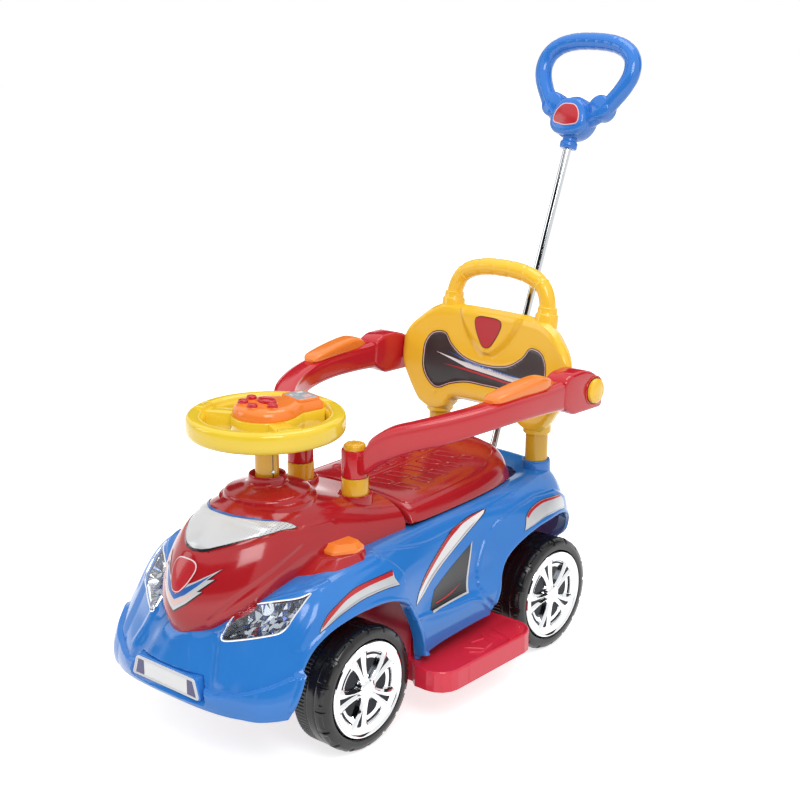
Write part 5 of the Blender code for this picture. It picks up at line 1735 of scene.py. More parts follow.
@dataclass
class SteeringSet:
    """The steering wheel with its console of buttons, on the column's sleeve."""

    rim: float = 0.0789
    half_width: float = 0.01
    half_height: float = 0.0118
    height: float = 0.35
    key_top: float = 0.3764
    dial_half: float = 0.016

    def placed(self, shape: Shape) -> Shape:
        """A shape drawn about the column, turned to the angle at which the wheel stands."""
        return shape.moved(Matrix.Translation((0, COLUMN_Y, 0)) @ Matrix.Rotation(WHEEL_TURN, 4, "Z"))

    def ring(self) -> Shape:
        """The rim: upright outside, rolled top, and a step inside."""
        section = [
            (1.0, -0.45), (1.02, 0.0), (1.0, 0.45), (0.86, 0.82), (0.55, 1.0), (0.1, 1.04), (-0.35, 1.0),
            (-0.62, 0.86), (-0.74, 0.62), (-0.86, 0.5), (-0.98, 0.3), (-1.0, -0.2), (-0.92, -0.62),
            (-0.66, -0.92), (-0.2, -1.0), (0.35, -1.0), (0.78, -0.84)]
        fine = curve_through(section, 3, True)
        rows = []
        for i in range(144):
            a = 2 * math.pi * i / 144
            rows.append(
                [((self.rim + u * self.half_width) * math.cos(a), (self.rim + u * self.half_width)
                * math.sin(a), self.height + v * self.half_height) for u, v in fine])
        return Shape.sheet(rows, looped=True, around=True)

    @staticmethod
    def outline(radius: float, tail: float = 0.065) -> list[Flat]:
        """The console's outline: round towards the nose, narrower towards the driver.

        Args:
            radius: its radius at the nose.
            tail: how far it reaches towards the driver.

        Returns:
            The outline about the column.
        """
        points = [
            (radius * math.cos(math.radians(150 + i * 10)), radius * math.sin(math.radians(150 + i * 10)))
            for i in range(25)]
        narrow = radius * 0.58
        neck = [
            (narrow * 1.12, 0.03), (narrow, 0.036), (narrow, tail), (-narrow, tail), (-narrow, 0.036),
            (-narrow * 1.12, 0.03)]
        return points + round_corners(neck, 0.006, 4)[6:-6]

    def build(self) -> Pieces:
        """Makes the wheel, the console, its keys and dial, and the sleeve."""
        wheel = self.ring()
        skirt = Shape.stack(
            self.outline(0.0392, 0.0665), mm((340.2, 3), (341.2, 1), (343, 0), (357.8, 0), (359, 0.8),
            (359.4, 2.2)))
        parts = [skirt]
        for angle in (92, 214, 347):
            turn = Matrix.Rotation(math.radians(angle), 4, "Z")
            spoke = Shape.stack(
                round_corners([(0.025, -0.0105), (self.rim, -0.0125), (self.rim, 0.0125), (0.025, 0.0105)],
                0.003), mm((339.6, 0.8), (340.2, 0), (357.5, 0), (358.8, 0.8), (359.2, 2.4)))
            tab = Shape.stack(
                round_corners([(self.rim - 0.009, -0.013), (self.rim + 0.0035, -0.014),
                (self.rim + 0.0035, 0.014), (self.rim - 0.009, 0.013)], 0.003),
                mm((355, 0), (361.8, 0.2), (363.2, 1), (363.6, 2.4)))
            parts += [spoke.moved(turn), tab.moved(turn)]
        console = Shape.stack(
            self.outline(0.0372), mm((359.2, 0.6), (360, 0), (364, 0.4), (368.2, 2.2), (370.6, 5),
            (371.6, 8.4), (372, 12)))
        pieces = [
            make_piece(
                "steering_wheel_ring", self.placed(wheel.plus(*parts)), (WHEEL_YELLOW,), Slot.YELLOW,
                ("steering_wheel",), body="steering"),
            make_piece(
                "console_dome", self.placed(console), (ORANGE,), Slot.ORANGE, ("wheel_console",),
                body="steering"),
        ]
        narrow = self.dial_half
        frame_ring = Shape.stack(
            round_corners([(-narrow - 0.002, 0.032), (narrow + 0.002, 0.032), (narrow + 0.002, 0.0612),
            (-narrow - 0.002, 0.0612)], 0.003), mm((370, 0), (372.7, 0.1), (373.1, 0.6), (373.1, 1.6),
            (372.4, 1.9)))
        pieces.append(
            make_piece("console_frame", self.placed(frame_ring), (ORANGE,), Slot.ORANGE, body="steering"))
        dial = Shape.stack(
            round_corners([(-narrow + 0.0003, 0.0342), (narrow - 0.0003, 0.0342), (narrow - 0.0003, 0.059),
            (-narrow + 0.0003, 0.059)], 0.002), mm((370.8, 0), (372.9, 0), (373.2, 0.4)))
        pieces.append(
            make_piece("console_dial", self.placed(dial), (GREY_INK,), Slot.SCREEN, ("console_screen",),
            body="steering"))
        marks = []
        for k, (a, b, w, h) in enumerate(
            mm((-12, 48, 5, 7), (-5, 40, 6, 5), (3, 45, 8, 10), (-9, 36.5, 6, 2.5))):
            marks.append(
                Shape.stack(round_corners([(a, b), (a + w, b), (a + w, b + h), (a, b + h)], 0.001),
                [(0.3729, 0.0), (0.37345, 0.0001)]).toned(k % 3))
        pieces.append(
            make_piece("console_dial_print", self.placed(marks[0].plus(*marks[1:])),
            (WHITE_INK, SILVER_INK, PINK_INK), Slot.SCREEN, body="steering"))
        keys = mm(
            (0, 2, 13.2, 8.8), (-20.6, -5.2, 6.2, 5.5), (-12.8, -20.8, 6.2, 5.5), (8.2, -22, 6.2, 5.5),
            (21.7, -4.5, 6.2, 5.5))
        for k, (x, y, rx, ry) in enumerate(keys, 1):
            oval = Matrix.Translation((x, y, 0)) @ Matrix.Diagonal((rx, ry, 1, 1))
            top = self.key_top
            cap = Shape.lathe(
                [(0, 0.3662), (1.0, 0.3662), (1.0, top - 0.0016), (0.97, top - 0.0007), (0.9, top - 0.0001),
                (0.82, top), (0.76, top - 0.0004), (0.7, top - 0.0003), (0.35, top + 0.0002),
                (0, top + 0.0004)], steps=48).moved(oval)
            rim = Shape.lathe(
                [(1.02, 0.37), (1.22, 0.37), (1.2, 0.3726), (1.12, 0.3734), (1.04, 0.373), (1.02, 0.3715)],
                steps=48, closed=True).moved(oval)
            pieces.append(
                make_piece(f"console_key_{k}", self.placed(cap), (RAIL_RED,), Slot.BUTTON,
                (f"console_button_{k}",), body=f"button_{k}"))
            pieces.append(
                make_piece(f"console_key_ring_{k}", self.placed(rim), (ORANGE,), Slot.ORANGE,
                body="steering"))
        sleeve = Shape.lathe(
            mm((4.3, 260), (13.5, 260), (13.5, 338), (13.1, 339.2), (4.3, 339.2)), (0, COLUMN_Y, 0),
            closed=True)
        seam = Shape.stack(
            mm((-0.5, -13.7), (0.5, -13.7), (0.5, -13), (-0.5, -13)), [(0.284, 0.0), (0.339, 0.0)])
        seam = seam.placed((0, COLUMN_Y, 0), 75)
        screw = Shape.lathe(mm((0, 12.5), (2.2, 12.5), (2.2, 14), (1.6, 14.5), (0, 14.6)), axis="Y", steps=20)
        screw = screw.placed((0, COLUMN_Y, 0.2955), -105)
        pieces.append(
            make_piece("column_sleeve", sleeve, (POST_YELLOW,), Slot.YELLOW, ("steering_column",),
            body="steering"))
        pieces.append(make_piece("column_seam", seam, (BLACK,), Slot.YELLOW, body="steering"))
        pieces.append(make_piece("column_screw", screw, (STEEL,), Slot.AXLE, body="steering"))
        return pieces


RAIL_PATH = mm(
    ((50, -77, 288), 12, 14.5),
    ((58.5, -75.5, 290), 12.5, 13.5),
    ((64.5, -73, 300.5), 12.5, 19.5),
    ((85, -62, 316), 13, 18),
    ((105, -43, 324), 13.5, 16),
    ((124, -15, 329), 14, 16),
    ((140, 25, 334.5), 14.5, 15),
    ((149, 75, 338), 15, 15.5),
    ((152, 130, 337.5), 15, 16.5),
    ((152, 180, 336), 15, 19),
)
ARM_PAD_PATH = mm(
    ((143.5, 40, 353), 7.5, 2),
    ((145.5, 50, 355), 12.5, 5),
    ((149, 85, 358), 13.5, 7.5),
    ((151.5, 120, 359), 13, 9.5),
    ((152, 136, 358), 11, 7),
    ((152, 147, 355.5), 7, 2.5),
)


@dataclass
class GuardRail:
    """One side's red rail with its orange arm pad, yellow cap, post and latch button."""

    side: Side
    # The middle of the ring and well round the latch button
    latch: Solid3 = (0.0, LATCH_Y - 0.0035, LATCH_Z + 0.002)
    # Where the raised lines stand on the section, and how far they spread, in degrees
    ridge_angles: tuple[int, int] = (38, 142)
    ridge_spread: float = 9.0

    def section(self, power: float, ridge: float) -> list[Flat]:
        """A rounded rectangle with a raised line along each top edge.

        Args:
            power: how square it is.
            ridge: the lines' height as a share of half the section.

        Returns:
            Its points, half a unit of width and height each way.
        """
        made = []
        for k in range(56):
            a = 2 * math.pi * k / 56
            c, s = math.cos(a), math.sin(a)
            u, v = math.copysign(abs(c) ** (2 / power), c), math.copysign(abs(s) ** (2 / power), s)
            for peak in self.ridge_angles:
                near = max(0.0, 1 - abs(math.degrees(a) - peak) / self.ridge_spread)
                u, v = u * (1 + ridge * near), v * (1 + ridge * near)
            made.append((u, v))
        return made

    def swept(
            self, path: Sequence[tuple[Solid3, float, float]], count: int, power: float, ridge: float,
            heading: Solid3 | None = None) -> Shape:
        """A bar whose section follows stations of centre, half width and half height.

        Args:
            path: the stations.
            count: sections between two stations.
            power: how square the section is.
            ridge: the height of its raised lines.
            heading: a fixed sideways direction, or none to turn with the path.

        Returns:
            The bar.
        """
        line = curve_through([(*c, w, h) for c, w, h in path], count)
        outline = self.section(power, ridge)
        rows = []
        for i, (x, y, z, w, h) in enumerate(line):
            along = line[min(i + 1, len(line) - 1)][:3] - line[max(i - 1, 0)][:3]
            across = np.array(heading, float) if heading else np.array([along[1], -along[0], 0.0])
            across /= np.linalg.norm(across)
            rows.append([(x + across[0] * u * w, y + across[1] * u * w, z + v * h) for u, v in outline])
        return Shape.sheet(rows, around=True, capped=True)

    def block(self) -> Shape:
        """The deep end of the rail, round about the latch button."""
        side_view = mm(
            (156, 326), (164, 319), (179, 309.8), (236, 308.2), (240, 312), (239.5, 330), (234.5, 346),
            (218, 357), (201, 362.2), (174, 362), (160, 356))
        outline = densified(round_corners(side_view, 0.006, 5), 0.002)
        return Shape.stack(
            outline, mm((135.5, 4), (136.1, 1.8), (137.6, 0.4), (139.2, 0), (164, 0), (166.2, 0.6),
            (167.8, 2), (168.4, 4)), axis="X")

    def build(self) -> Pieces:
        """Makes this side's rail and what it carries."""
        tag, side = self.side.tag, self.side
        x, y = FRONT_POST
        arm = self.swept(RAIL_PATH, 9, 4.2, 0.06)
        collar = Shape.lathe(
            [(0.0102, COLLAR_Z0), (0.0148, COLLAR_Z0), (0.0154, COLLAR_Z0 + 0.0008),
            (0.0154, COLLAR_Z1 - 0.0008), (0.0149, COLLAR_Z1), (0.0102, COLLAR_Z1)], (x, y, 0), closed=True)
        ring = Shape.lathe(
            mm((16.2, 167.6), (18.8, 167.6), (18.8, 169), (18.2, 169.7), (17, 169.7), (16.2, 169)),
            self.latch, axis="X", closed=True)
        # The well is black under the button: painted shade for the thin gap round it
        well = Shape.lathe(
            mm((0, 168), (17.2, 168), (17.2, 168.6), (0, 168.6)), self.latch, axis="X").toned(1)
        rail = arm.plus(self.block(), collar, ring, well)
        pad = self.swept(ARM_PAD_PATH, 8, 3.6, 0.0, (1, -0.06, 0))
        post = Shape.lathe(
            [(0, 0.2383), (0.0158, 0.2383), (0.0158, COLLAR_Z0 - 0.0014), (0.0153, COLLAR_Z0 - 0.0006),
            (0.01, COLLAR_Z0 - 0.0005), (0.01, COLLAR_Z1 - 0.0002), (0, COLLAR_Z1 - 0.0001)], (x, y, 0))
        knob = Shape.lathe(
            mm((0, 164), (12.4, 164), (12.4, 169.2), (15.4, 169.2), (15.4, 171.6), (15, 173), (13.6, 174.1),
            (11.2, 174.6), (10.7, 174.3), (10.2, 174.6), (0, 175.1)), (0, LATCH_Y - 0.003, LATCH_Z + 0.0018),
            axis="X")
        return [
            make_piece(
                "rail_bar_" + tag, rail.on(side), (RAIL_RED, BLACK), Slot.RED, ("guard_rail_" + tag,),
                "rail_" + tag),
            make_piece(
                "rail_pad_" + tag, pad.on(side), (ORANGE,), Slot.ORANGE, ("arm_pad_" + tag,), "rail_" + tag),
            make_piece(
                "rail_cap_dome_" + tag, self.cap().on(side), (POST_YELLOW,), Slot.YELLOW,
                ("rail_cap_" + tag,)),
            make_piece(
                "front_post_tube_" + tag, post.on(side), (POST_YELLOW,), Slot.YELLOW, ("front_post_" + tag,)),
            make_piece(
                "latch_knob_" + tag, knob.on(side), (YELLOW,), Slot.YELLOW, ("latch_button_" + tag,),
                "latch_" + tag),
        ]

    @staticmethod
    def cap() -> Shape:
        """The ribbed cap over the front post."""
        x, y = FRONT_POST
        angles, rows = full_turn(96), []
        for r, z, depth in mm(
            (0, 0.3, 0), (13.2, 0.3, 0), (13.2, 2.2, 0.6), (12.8, 4.6, 1.2), (11.4, 6.4, 1.4), (9.2, 7.2, 1),
            (6, 6.4, 0), (5, 7.2, 0), (0, 7.5, 0)):
            reach = max(r, 1e-6) - depth * (0.5 + 0.5 * np.cos(angles * 9)) ** 2
            rows.append(
                np.column_stack([x + reach * np.cos(angles), y + reach * np.sin(angles),
                np.full(len(angles), COLLAR_Z1 + z)]))
        return Shape.sheet(rows, around=True, capped=True)


BACK_STATIONS = mm(
    (0, 11, 137.5), (25, 11, 137.5), (43, 10.5, 137.2), (54, 6, 137), (62, -6, 136.2), (81, -10, 134.5),
    (99, -3, 126), (111.5, 13, 115), (123.5, 33, 102), (134, 54, 86))
HANDLE_HALF = mm(
    (75.5, 125), (75.5, 142), (73.5, 158), (67, 172), (56, 181), (40, 187), (20, 190.2), (0, 190.8))


@dataclass
class Backrest:
    """The yellow blow-moulded backrest with its carrying handle, on two posts."""

    wrap: float = 0.02
    half: float = 0.015
    reach: float = 0.134
    dome: float = 0.005
    dome_slope: float = 0.0065
    field_depth: float = 0.0012
    field_slope: float = 0.003
    # The slab thins towards its sides by this share, and rounds off over the last stretch from here
    thinning: float = 0.35
    round_from: float = 0.1222
    round_over: float = 0.0124
    edge_radius: float = 0.011
    # The carrying handle's bar, and the finger grips that it has above this height
    bar: float = 0.0106
    grips_above: float = 0.176
    grip_pitch: float = 0.024
    grip_rise: float = 0.001
    grip_sink: float = 0.0004

    def standing(self, shape: Shape) -> Shape:
        """A shape drawn upright about the backrest's foot, leant back in its place."""
        return shape.moved(
            Matrix.Translation((0, REAR_POST[1], BACK_Z)) @ Matrix.Rotation(-BACK_LEAN, 4, "X"))

    def slab(self) -> Shape:
        """The padded slab: rounded in section, wrapped forward at its sides, with the raised V."""
        ends = curve_through([(a, low, high) for a, low, high in BACK_STATIONS], 10)
        stations = [tuple(p) for p in ends]
        a, low, high = stations[-1]
        middle = (low + high) / 2
        for k in range(1, 9):
            t = math.sin(math.radians(90 * k / 8))
            close = math.sqrt(max(0.0, 1 - t * t * 0.999))
            stations.append(
                (a + 0.0004 * t, middle - (middle - low) * close, middle + (high - middle) * close))
        stations = [(-p[0], p[1], p[2]) for p in reversed(stations[1:])] + stations
        rows = []
        for a, low, high in stations:
            share = min(1.0, abs(a) / self.reach)
            forward = -self.wrap * share**2
            rounding = math.sqrt(max(0.02, 1 - max(0.0, (abs(a) - self.round_from) / self.round_over) ** 2))
            thick = self.half * (1.0 - self.thinning * share**2) * min(1.0, rounding)
            rows.append(self._ring(a, low, high, forward, thick))
        made = Shape.sheet(rows, around=True, capped=True)
        return self._raised(made)

    def _ring(self, a: float, low: float, high: float, forward: float, thick: float) -> list[Solid3]:
        """One upright section of the slab.

        Args:
            a: its place across the car.
            low: its lower end.
            high: its upper end.
            forward: how far its middle lies to the front or back.
            thick: half its thickness.

        Returns:
            Its points in order.
        """
        middle, tall = (low + high) / 2, (high - low) / 2
        ring = [(-1 + 2 * k / 27, -1.0) for k in range(28)] + [(1 - 2 * k / 28, 1.0) for k in range(1, 28)]
        made = []
        corner = min(self.edge_radius, tall * 0.9)
        for t, face in ring:
            z = t * tall
            over = max(0.0, abs(z) - (tall - corner)) / corner
            shrink = math.sqrt(max(0.0, 1 - min(1.0, over) ** 2))
            made.append((a, forward + face * thick * (0.18 + 0.82 * shrink), middle + z))
        return made

    def _raised(self, made: Shape) -> Shape:
        """Raises the V-shaped dome on the front, and sinks the panel's field.

        Args:
            made: the plain slab.

        Returns:
            The slab with its relief.
        """
        points = made.points.copy()
        front = points[:, 1] < -self.wrap * np.minimum(1, np.abs(points[:, 0]) / self.reach) ** 2
        flat = points[:, [0, 2]]
        dome = np.array(
            curve_through(mm((-56, 150), (-48, 124), (-33, 99), (-14, 81), (0, 76.5), (14, 81), (33, 99),
            (48, 124), (56, 150)), 6))
        far, _ = to_line(flat, dome, looped=True)
        level = np.where(inside(flat, dome), np.clip(far / self.dome_slope, 0, 1), 0.0)
        points[:, 1] -= np.where(front, self.dome * (1 - (1 - level) ** 2), 0.0)
        panel = self.panel()
        far, _ = to_line(flat, panel, looped=True)
        level = np.where(inside(flat, panel), np.clip(far / self.field_slope, 0, 1), 0.0)
        points[:, 1] += np.where(front, self.field_depth * level, 0.0)
        return Shape(points, made.faces, made.tones)

    @staticmethod
    def panel(shrink: float = 0.0) -> np.ndarray:
        """The outline of the dark panel, wide at the sides and narrow in the middle.

        Args:
            shrink: how far it is moved inwards.

        Returns:
            The closed outline.
        """
        half = mm(
            (0, 65), (15, 65.8), (37, 70.7), (57, 83.8), (67, 96.7), (78.5, 98.1), (90.5, 93.3), (99, 78.8),
            (100, 60), (98.5, 47), (92.5, 34.5), (80.5, 23.5), (69, 22.5), (52, 30.5), (28, 36.3), (0, 36.5))
        line = curve_through(mirrored_outline(half), 4, True)
        return inset(densified(line, 0.002), shrink)

    def handle(self) -> Shape:
        """The carrying handle with finger grips and a stepped foot each side."""
        full = HANDLE_HALF + [(-a, b) for a, b in HANDLE_HALF[-2::-1]]
        line = curve_through([(a, 0.0, b) for a, b in full], 12)
        radii = []
        for a, _, b in line:
            r = self.bar
            if b > self.grips_above:
                grip = abs(((a / self.grip_pitch) + 100.5) % 1.0 - 0.5) * 2
                r += self.grip_rise * (1 - max(0.0, 1 - (1 - grip) * 5.0)) - self.grip_sink
            radii.append(r)
        bar = Shape.tube([tuple(p) for p in line], radii, 32)
        foot = Shape.lathe(
            mm((0, 125), (15.2, 125), (15, 140.5), (14.4, 141.8), (13.2, 142.4), (12.8, 143), (12.6, 150),
            (11.8, 150.8), (0, 151)), (0.0755, 0, 0))
        return bar.plus(foot.both())

    def build(self) -> Pieces:
        """Makes the backrest, its handle, posts and cups."""
        x, y = REAR_POST
        slab = self.standing(self.slab())
        self.tree = slab.tree()
        cup = Shape.lathe(
            mm((14.7, 261.2), (17.2, 261.2), (18, 262.2), (18.2, 270), (18.2, 290), (14.7, 290)), (x, y, 0),
            closed=True)
        lug = Shape.stack(
            round_corners(mm((214, 324), (226, 324), (226, 340), (214, 340)), 0.002),
            mm((108, 0), (142.2, 0), (143, 0.8)), axis="X")
        body = slab.plus(self.standing(self.handle()), cup.both(), lug.both())
        post = Shape.lathe(mm((0, 194), (14.5, 194), (14.5, 277.5), (0, 277.5)), (x, y, 0))
        pieces = [make_piece("backrest_moulding", body, (YELLOW,), Slot.YELLOW, ("backrest",))]
        for side in Side:
            pieces.append(
                make_piece("rear_post_tube_" + side.tag, post.on(side), (POST_YELLOW,), Slot.YELLOW,
                ("rear_post_" + side.tag,)))
        return pieces


HANDLE_PATH = mm(
    (0, 106), (30, 104), (52, 97), (66, 84), (70, 66), (65, 48), (54, 30), (40, 12), (20, -2), (0, -6))


@dataclass
class PushHandle:
    """The parent's handle: a blue loop with a hub and badge, on a chromed pole."""

    grip: float = 0.0112
    # The loop's finger grips: above this height, this far apart, with ridges and grooves so high and deep
    grips_above: float = 0.088
    grip_pitch: float = 0.015
    grip_rise: float = 0.0002
    grip_sink: float = 0.0005

    def on_pole(self, shape: Shape) -> Shape:
        """A shape drawn upright about the hub, tilted onto the pole."""
        hub = POLE_FOOT + POLE_UP * HUB_ALONG
        return shape.moved(Matrix.Translation(hub) @ Matrix.Rotation(-POLE_TILT, 4, "X"))

    def build(self) -> Pieces:
        """Makes the loop, hub, badge and pole."""
        path = HANDLE_PATH + [(-a, b) for a, b in HANDLE_PATH[-2:0:-1]]
        line = curve_through([(a, 0.0, b) for a, b in path], 12, True)
        radii = []
        for a, _, b in line:
            r = self.grip
            if b > self.grips_above:
                grip = abs(((a / self.grip_pitch) + 100.5) % 1.0 - 0.5) * 2
                r += self.grip_rise - self.grip_sink * max(0.0, 1 - (1 - grip) * 3.5)
            radii.append(r)
        loop = Shape.tube([tuple(p) for p in line], radii, 32, True)
        lobe = Shape.lathe(
            mm((0, -11), (12.8, -11), (15, -9.8), (16.8, -7), (17.2, -3), (17.2, 8), (16.6, 11), (14.8, 13.4),
            (0, 14)), (0.0375, 0, 0.016), axis="Y")
        back = Shape.lathe(
            mm((0, -11.2), (25, -11.2), (27.6, -10), (28.8, -7.5), (29, 10), (27.6, 13.6), (25, 15.2),
            (0, 15.5)), (0, 0, -0.001), axis="Y")
        neck = Shape.lathe(
            mm((6.6, -42), (10.4, -42), (11.4, -41.2), (11.9, -39.6), (11.9, -34), (11.2, -32.6),
            (10.1, -31.8), (10, -19), (6.6, -19)), closed=True)
        hub_line = round_corners(
            mm((-27, -16), (-19, -24.5), (0, -27.5), (19, -24.5), (27, -16), (28, -2), (22.5, 14), (12, 23.5),
            (-12, 23.5), (-22.5, 14), (-28, -2)), 0.006, 4)
        face = Shape.stack(
            hub_line, mm((-10.8, 0), (-15, 0), (-18, 1), (-20.2, 3.2), (-21.2, 6.2), (-21.5, 8.2)), axis="Y")
        badge_line = round_corners(
            mm((-20, -11.2), (0, -15), (20, -11.2), (18.2, 3.6), (9.6, 13.8), (-9.6, 13.8), (-18.2, 3.6)),
            0.006, 5)
        badge = Shape.stack(badge_line, mm((-20.6, 0), (-21.7, 0.2), (-22, 0.9)), axis="Y")
        trim = Shape.stack(inset(badge_line, -0.001), mm((-20.5, 0), (-21.6, 0.1), (-21.8, 0.6)), axis="Y")
        foot, hub = np.array(POLE_FOOT), np.array(POLE_FOOT + POLE_UP * (HUB_ALONG - 0.017))
        pole = Shape.tube(
            [tuple(foot + (hub - foot) * t) for t in (0.0, 0.25, 0.5, 0.75, 1.0)], POLE_R, 64,
            level=(1, 0, 0))
        return [
            make_piece(
                "push_loop", self.on_pole(loop.plus(lobe.both(), back, neck)), (GRIP_BLUE,), Slot.GRIP,
                ("push_handle",)),
            make_piece("push_hub_face", self.on_pole(face), (GRIP_BLUE,), Slot.GRIP, ("hub_cover",)),
            make_piece("push_hub_badge", self.on_pole(badge), (RED_INK,), Slot.BADGE, ("hub_badge",)),
            make_piece("push_hub_badge_trim", self.on_pole(trim), (PINK_INK,), Slot.BADGE),
            make_piece("push_pole_tube", pole, (TUBE_CHROME,), Slot.TUBE, ("push_pole",)),
        ]


def on_brow(half: Sequence[Solid3], corner: int) -> list[Flat]:
    """The flat outline of a blade on the bonnet's brow, from its left half and its sharp corner's place."""
    flat = mirrored_outline([(x, (y + z) * math.sqrt(0.5)) for x, y, z in half])
    return traced(flat, (corner, (len(flat) - corner) if corner else len(half) - 1))


def edging(line: Sequence[Flat], width: float) -> np.ndarray:
    """The outline of the dark edge that shows round a sticker."""
    return inset(densified(line, 0.004), -width)


@dataclass
class Graphics:
    """The printed stickers and badges, in a plain design of their own."""

    shell: BodyShell
    bonnet: Bonnet
    backrest: Backrest
    lift: float = 0.0004

    def layer(
            self, name: str, outline: Sequence[Flat], projector: Projector, tree: BVHTree, finish: Finish,
            level: int = 0, both: bool = False, slot: Slot = Slot.PLATE,
            stands_for: Sequence[str] = ()) -> bpy.types.Object:
        """One printed colour of a sticker.

        Args:
            name: the piece's name.
            outline: its flat outline.
            projector: how the drawing meets the surface.
            tree: the surface.
            finish: its ink.
            level: how many layers lie under it.
            both: whether the other side of the car has it too.
            slot: the record's material slot.
            stands_for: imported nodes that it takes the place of.

        Returns:
            The new object.
        """
        film = draped(outline, projector, tree, self.lift + 0.00028 * level)
        if both:
            marks = np.vstack([film.flats, film.flats])
            film = film.both()
            film.flats = marks
        return make_piece(name, film, (finish,), slot, stands_for)

    def build(self) -> Pieces:
        """Makes every sticker."""
        return self.bonnet_stickers() + self.side_stickers() + self.back_panel()

    def bonnet_stickers(self) -> Pieces:
        """The brow's silver blade and the nose's winged badge."""
        tree = self.bonnet.tree
        blade = on_brow(
            mm((0, -248, 264), (19.8, -242.4, 261.2), (43.6, -225.7, 257.8), (60, -203.5, 252.2),
            (65.5, -197, 248.5), (65, -203, 245.5), (53.6, -235.8, 246.3), (37.5, -261.8, 242.2),
            (23.3, -277.8, 238.6), (13.7, -286, 237.5), (0, -290.5, 237)), 4)
        top = on_brow(
            mm((0, -247, 265), (20, -241.2, 262.2), (44, -224.3, 259), (56, -209, 254.5), (43.6, -226.2, 257),
            (19.8, -243.6, 260), (0, -249.4, 262.6)), 0)
        under = on_brow(
            mm((0, -290.5, 236.6), (13.7, -286.2, 237.2), (23.3, -278, 238.2), (37.5, -262, 241.8),
            (53.6, -236, 245.8), (37.5, -263.2, 240.8), (23.3, -279.8, 237.2), (13.7, -288.8, 235.8),
            (0, -293.5, 235)), 0)
        wings = mirrored_outline(
            mm((0, 196), (20, 206), (40, 219), (30, 208), (37, 209), (24, 196), (29, 196.5), (15, 183),
            (0, 172.5)))
        dark = mirrored_outline(
            mm((0, 195.5), (21, 205.2), (42, 220.5), (32, 208), (39, 209.5), (25.5, 195), (30.5, 196),
            (16, 181.8), (0, 170.5)))
        blue = mirrored_outline(
            mm((0, 190), (12, 199), (23, 206), (33, 213), (23.5, 202), (13, 192), (0, 184.5)))
        rose = mirrored_outline(mm((0, 183), (14, 190), (25, 197.5), (14, 186.8), (0, 177.5)))
        badge = curve_through(
            mirrored_outline(mm((0, 224), (11, 222.5), (15.5, 216), (12, 204), (5.5, 195), (0, 193))), 4,
            True)
        trim = inset(badge, -0.001)
        return [
            self.layer(
                "brow_blade_edge", inset(densified(blade, 0.003), -0.0006), FROM_BROW, tree, BLACK_INK),
            self.layer("brow_blade", blade, FROM_BROW, tree, SILVER_DOTS, 1),
            self.layer("brow_top_line", top, FROM_BROW, tree, BLUE_INK, 2),
            self.layer("brow_under_line", under, FROM_BROW, tree, BLACK_INK, 2),
            self.layer("nose_wings_edge", dark, FROM_NOSE, tree, BLACK_INK),
            self.layer("nose_wings", wings, FROM_NOSE, tree, SILVER_INK, 1),
            self.layer("nose_wings_blue", blue, FROM_NOSE, tree, BLUE_INK, 2),
            self.layer("nose_wings_rose", rose, FROM_NOSE, tree, PINK_INK, 2),
            self.layer(
                "nose_badge_edge", inset(badge, -0.0016), FROM_NOSE, tree, RED_INK, 3, slot=Slot.BADGE),
            self.layer("nose_badge_trim", trim, FROM_NOSE, tree, WHITE_INK, 4, slot=Slot.BADGE),
            self.layer("nose_badge", badge, FROM_NOSE, tree, RED_INK, 5, slot=Slot.BADGE),
        ]

    def side_stickers(self) -> Pieces:
        """The blades, flashes and dotted field on the body's sides."""
        tree = self.shell.tree
        flash = traced(
            mm((-238.7, 159.9), (-230.6, 169.2), (-217.2, 178.2), (-185.1, 188.4), (-157.5, 190.5),
            (-116.3, 190.3), (-117.6, 183.3), (-113.6, 175.1), (-139.2, 178), (-175.7, 177.8),
            (-205.7, 172.6), (-222.4, 167.3)), (0, 5, 6, 7))
        flash_red = traced(
            mm((-236, 162.5), (-230.6, 169.2), (-217.2, 178.2), (-185.1, 188.4), (-157.5, 190.5),
            (-116.3, 190.3), (-119.2, 186.2), (-161, 186.9), (-195, 183), (-219.7, 173.1)), (0, 5, 6))
        flash_line = traced(
            mm((-230, 165.5), (-210, 173.5), (-176, 180), (-139, 180), (-115, 177.5), (-139.2, 179),
            (-175.7, 178.8), (-208, 172.2)), (0, 4))
        blade = traced(
            mm((76, 205.6), (32.7, 191.8), (-8.7, 176.2), (-41.9, 162.3), (-69.5, 148.7), (-87.1, 142.5),
            (-75.3, 153.9), (-54.1, 169.3), (-16.9, 189), (9.4, 198.8), (43.1, 204.4)), (0, 5))
        blade_red = traced(
            mm((76, 205.6), (43.1, 204.4), (9.4, 198.8), (-16.9, 189), (-54.1, 169.3), (-75.3, 153.9),
            (-50, 168), (-15, 186.2), (11, 196), (43.1, 202.4)), (0, 5))
        blade_grey = traced(
            mm((50, 198.5), (10, 185), (-30, 169), (-82, 145), (-45, 165), (-6, 180), (30, 193.5)), (0, 3))
        field_line = mm((33.2, 179), (6.1, 127.7), (-60, 126.5), (-64, 129), (-47.3, 146.7))
        border = mm((33.2, 180), (7.2, 126.6), (-62, 125.2), (-61, 127), (4.8, 128.5), (30, 177.2))
        stroke = traced(mm((-50, 133), (-25, 134.5), (2, 140), (-24, 133.2), (-50, 131.8)), (0, 2))
        rear = traced(
            mm((115.6, 173.7), (125, 187.8), (139.2, 193.9), (166.4, 196.8), (209, 191.5), (216, 183),
            (214, 174), (164.4, 178.9), (133.9, 175.9)), (0, 1, 4, 6))
        rear_red = traced(
            mm((125, 187.8), (139.2, 193.6), (166.4, 196.4), (208.5, 191.2), (210, 189), (166.4, 193.8),
            (140, 190.8), (127.5, 185.6)), (0, 3, 4, 7))
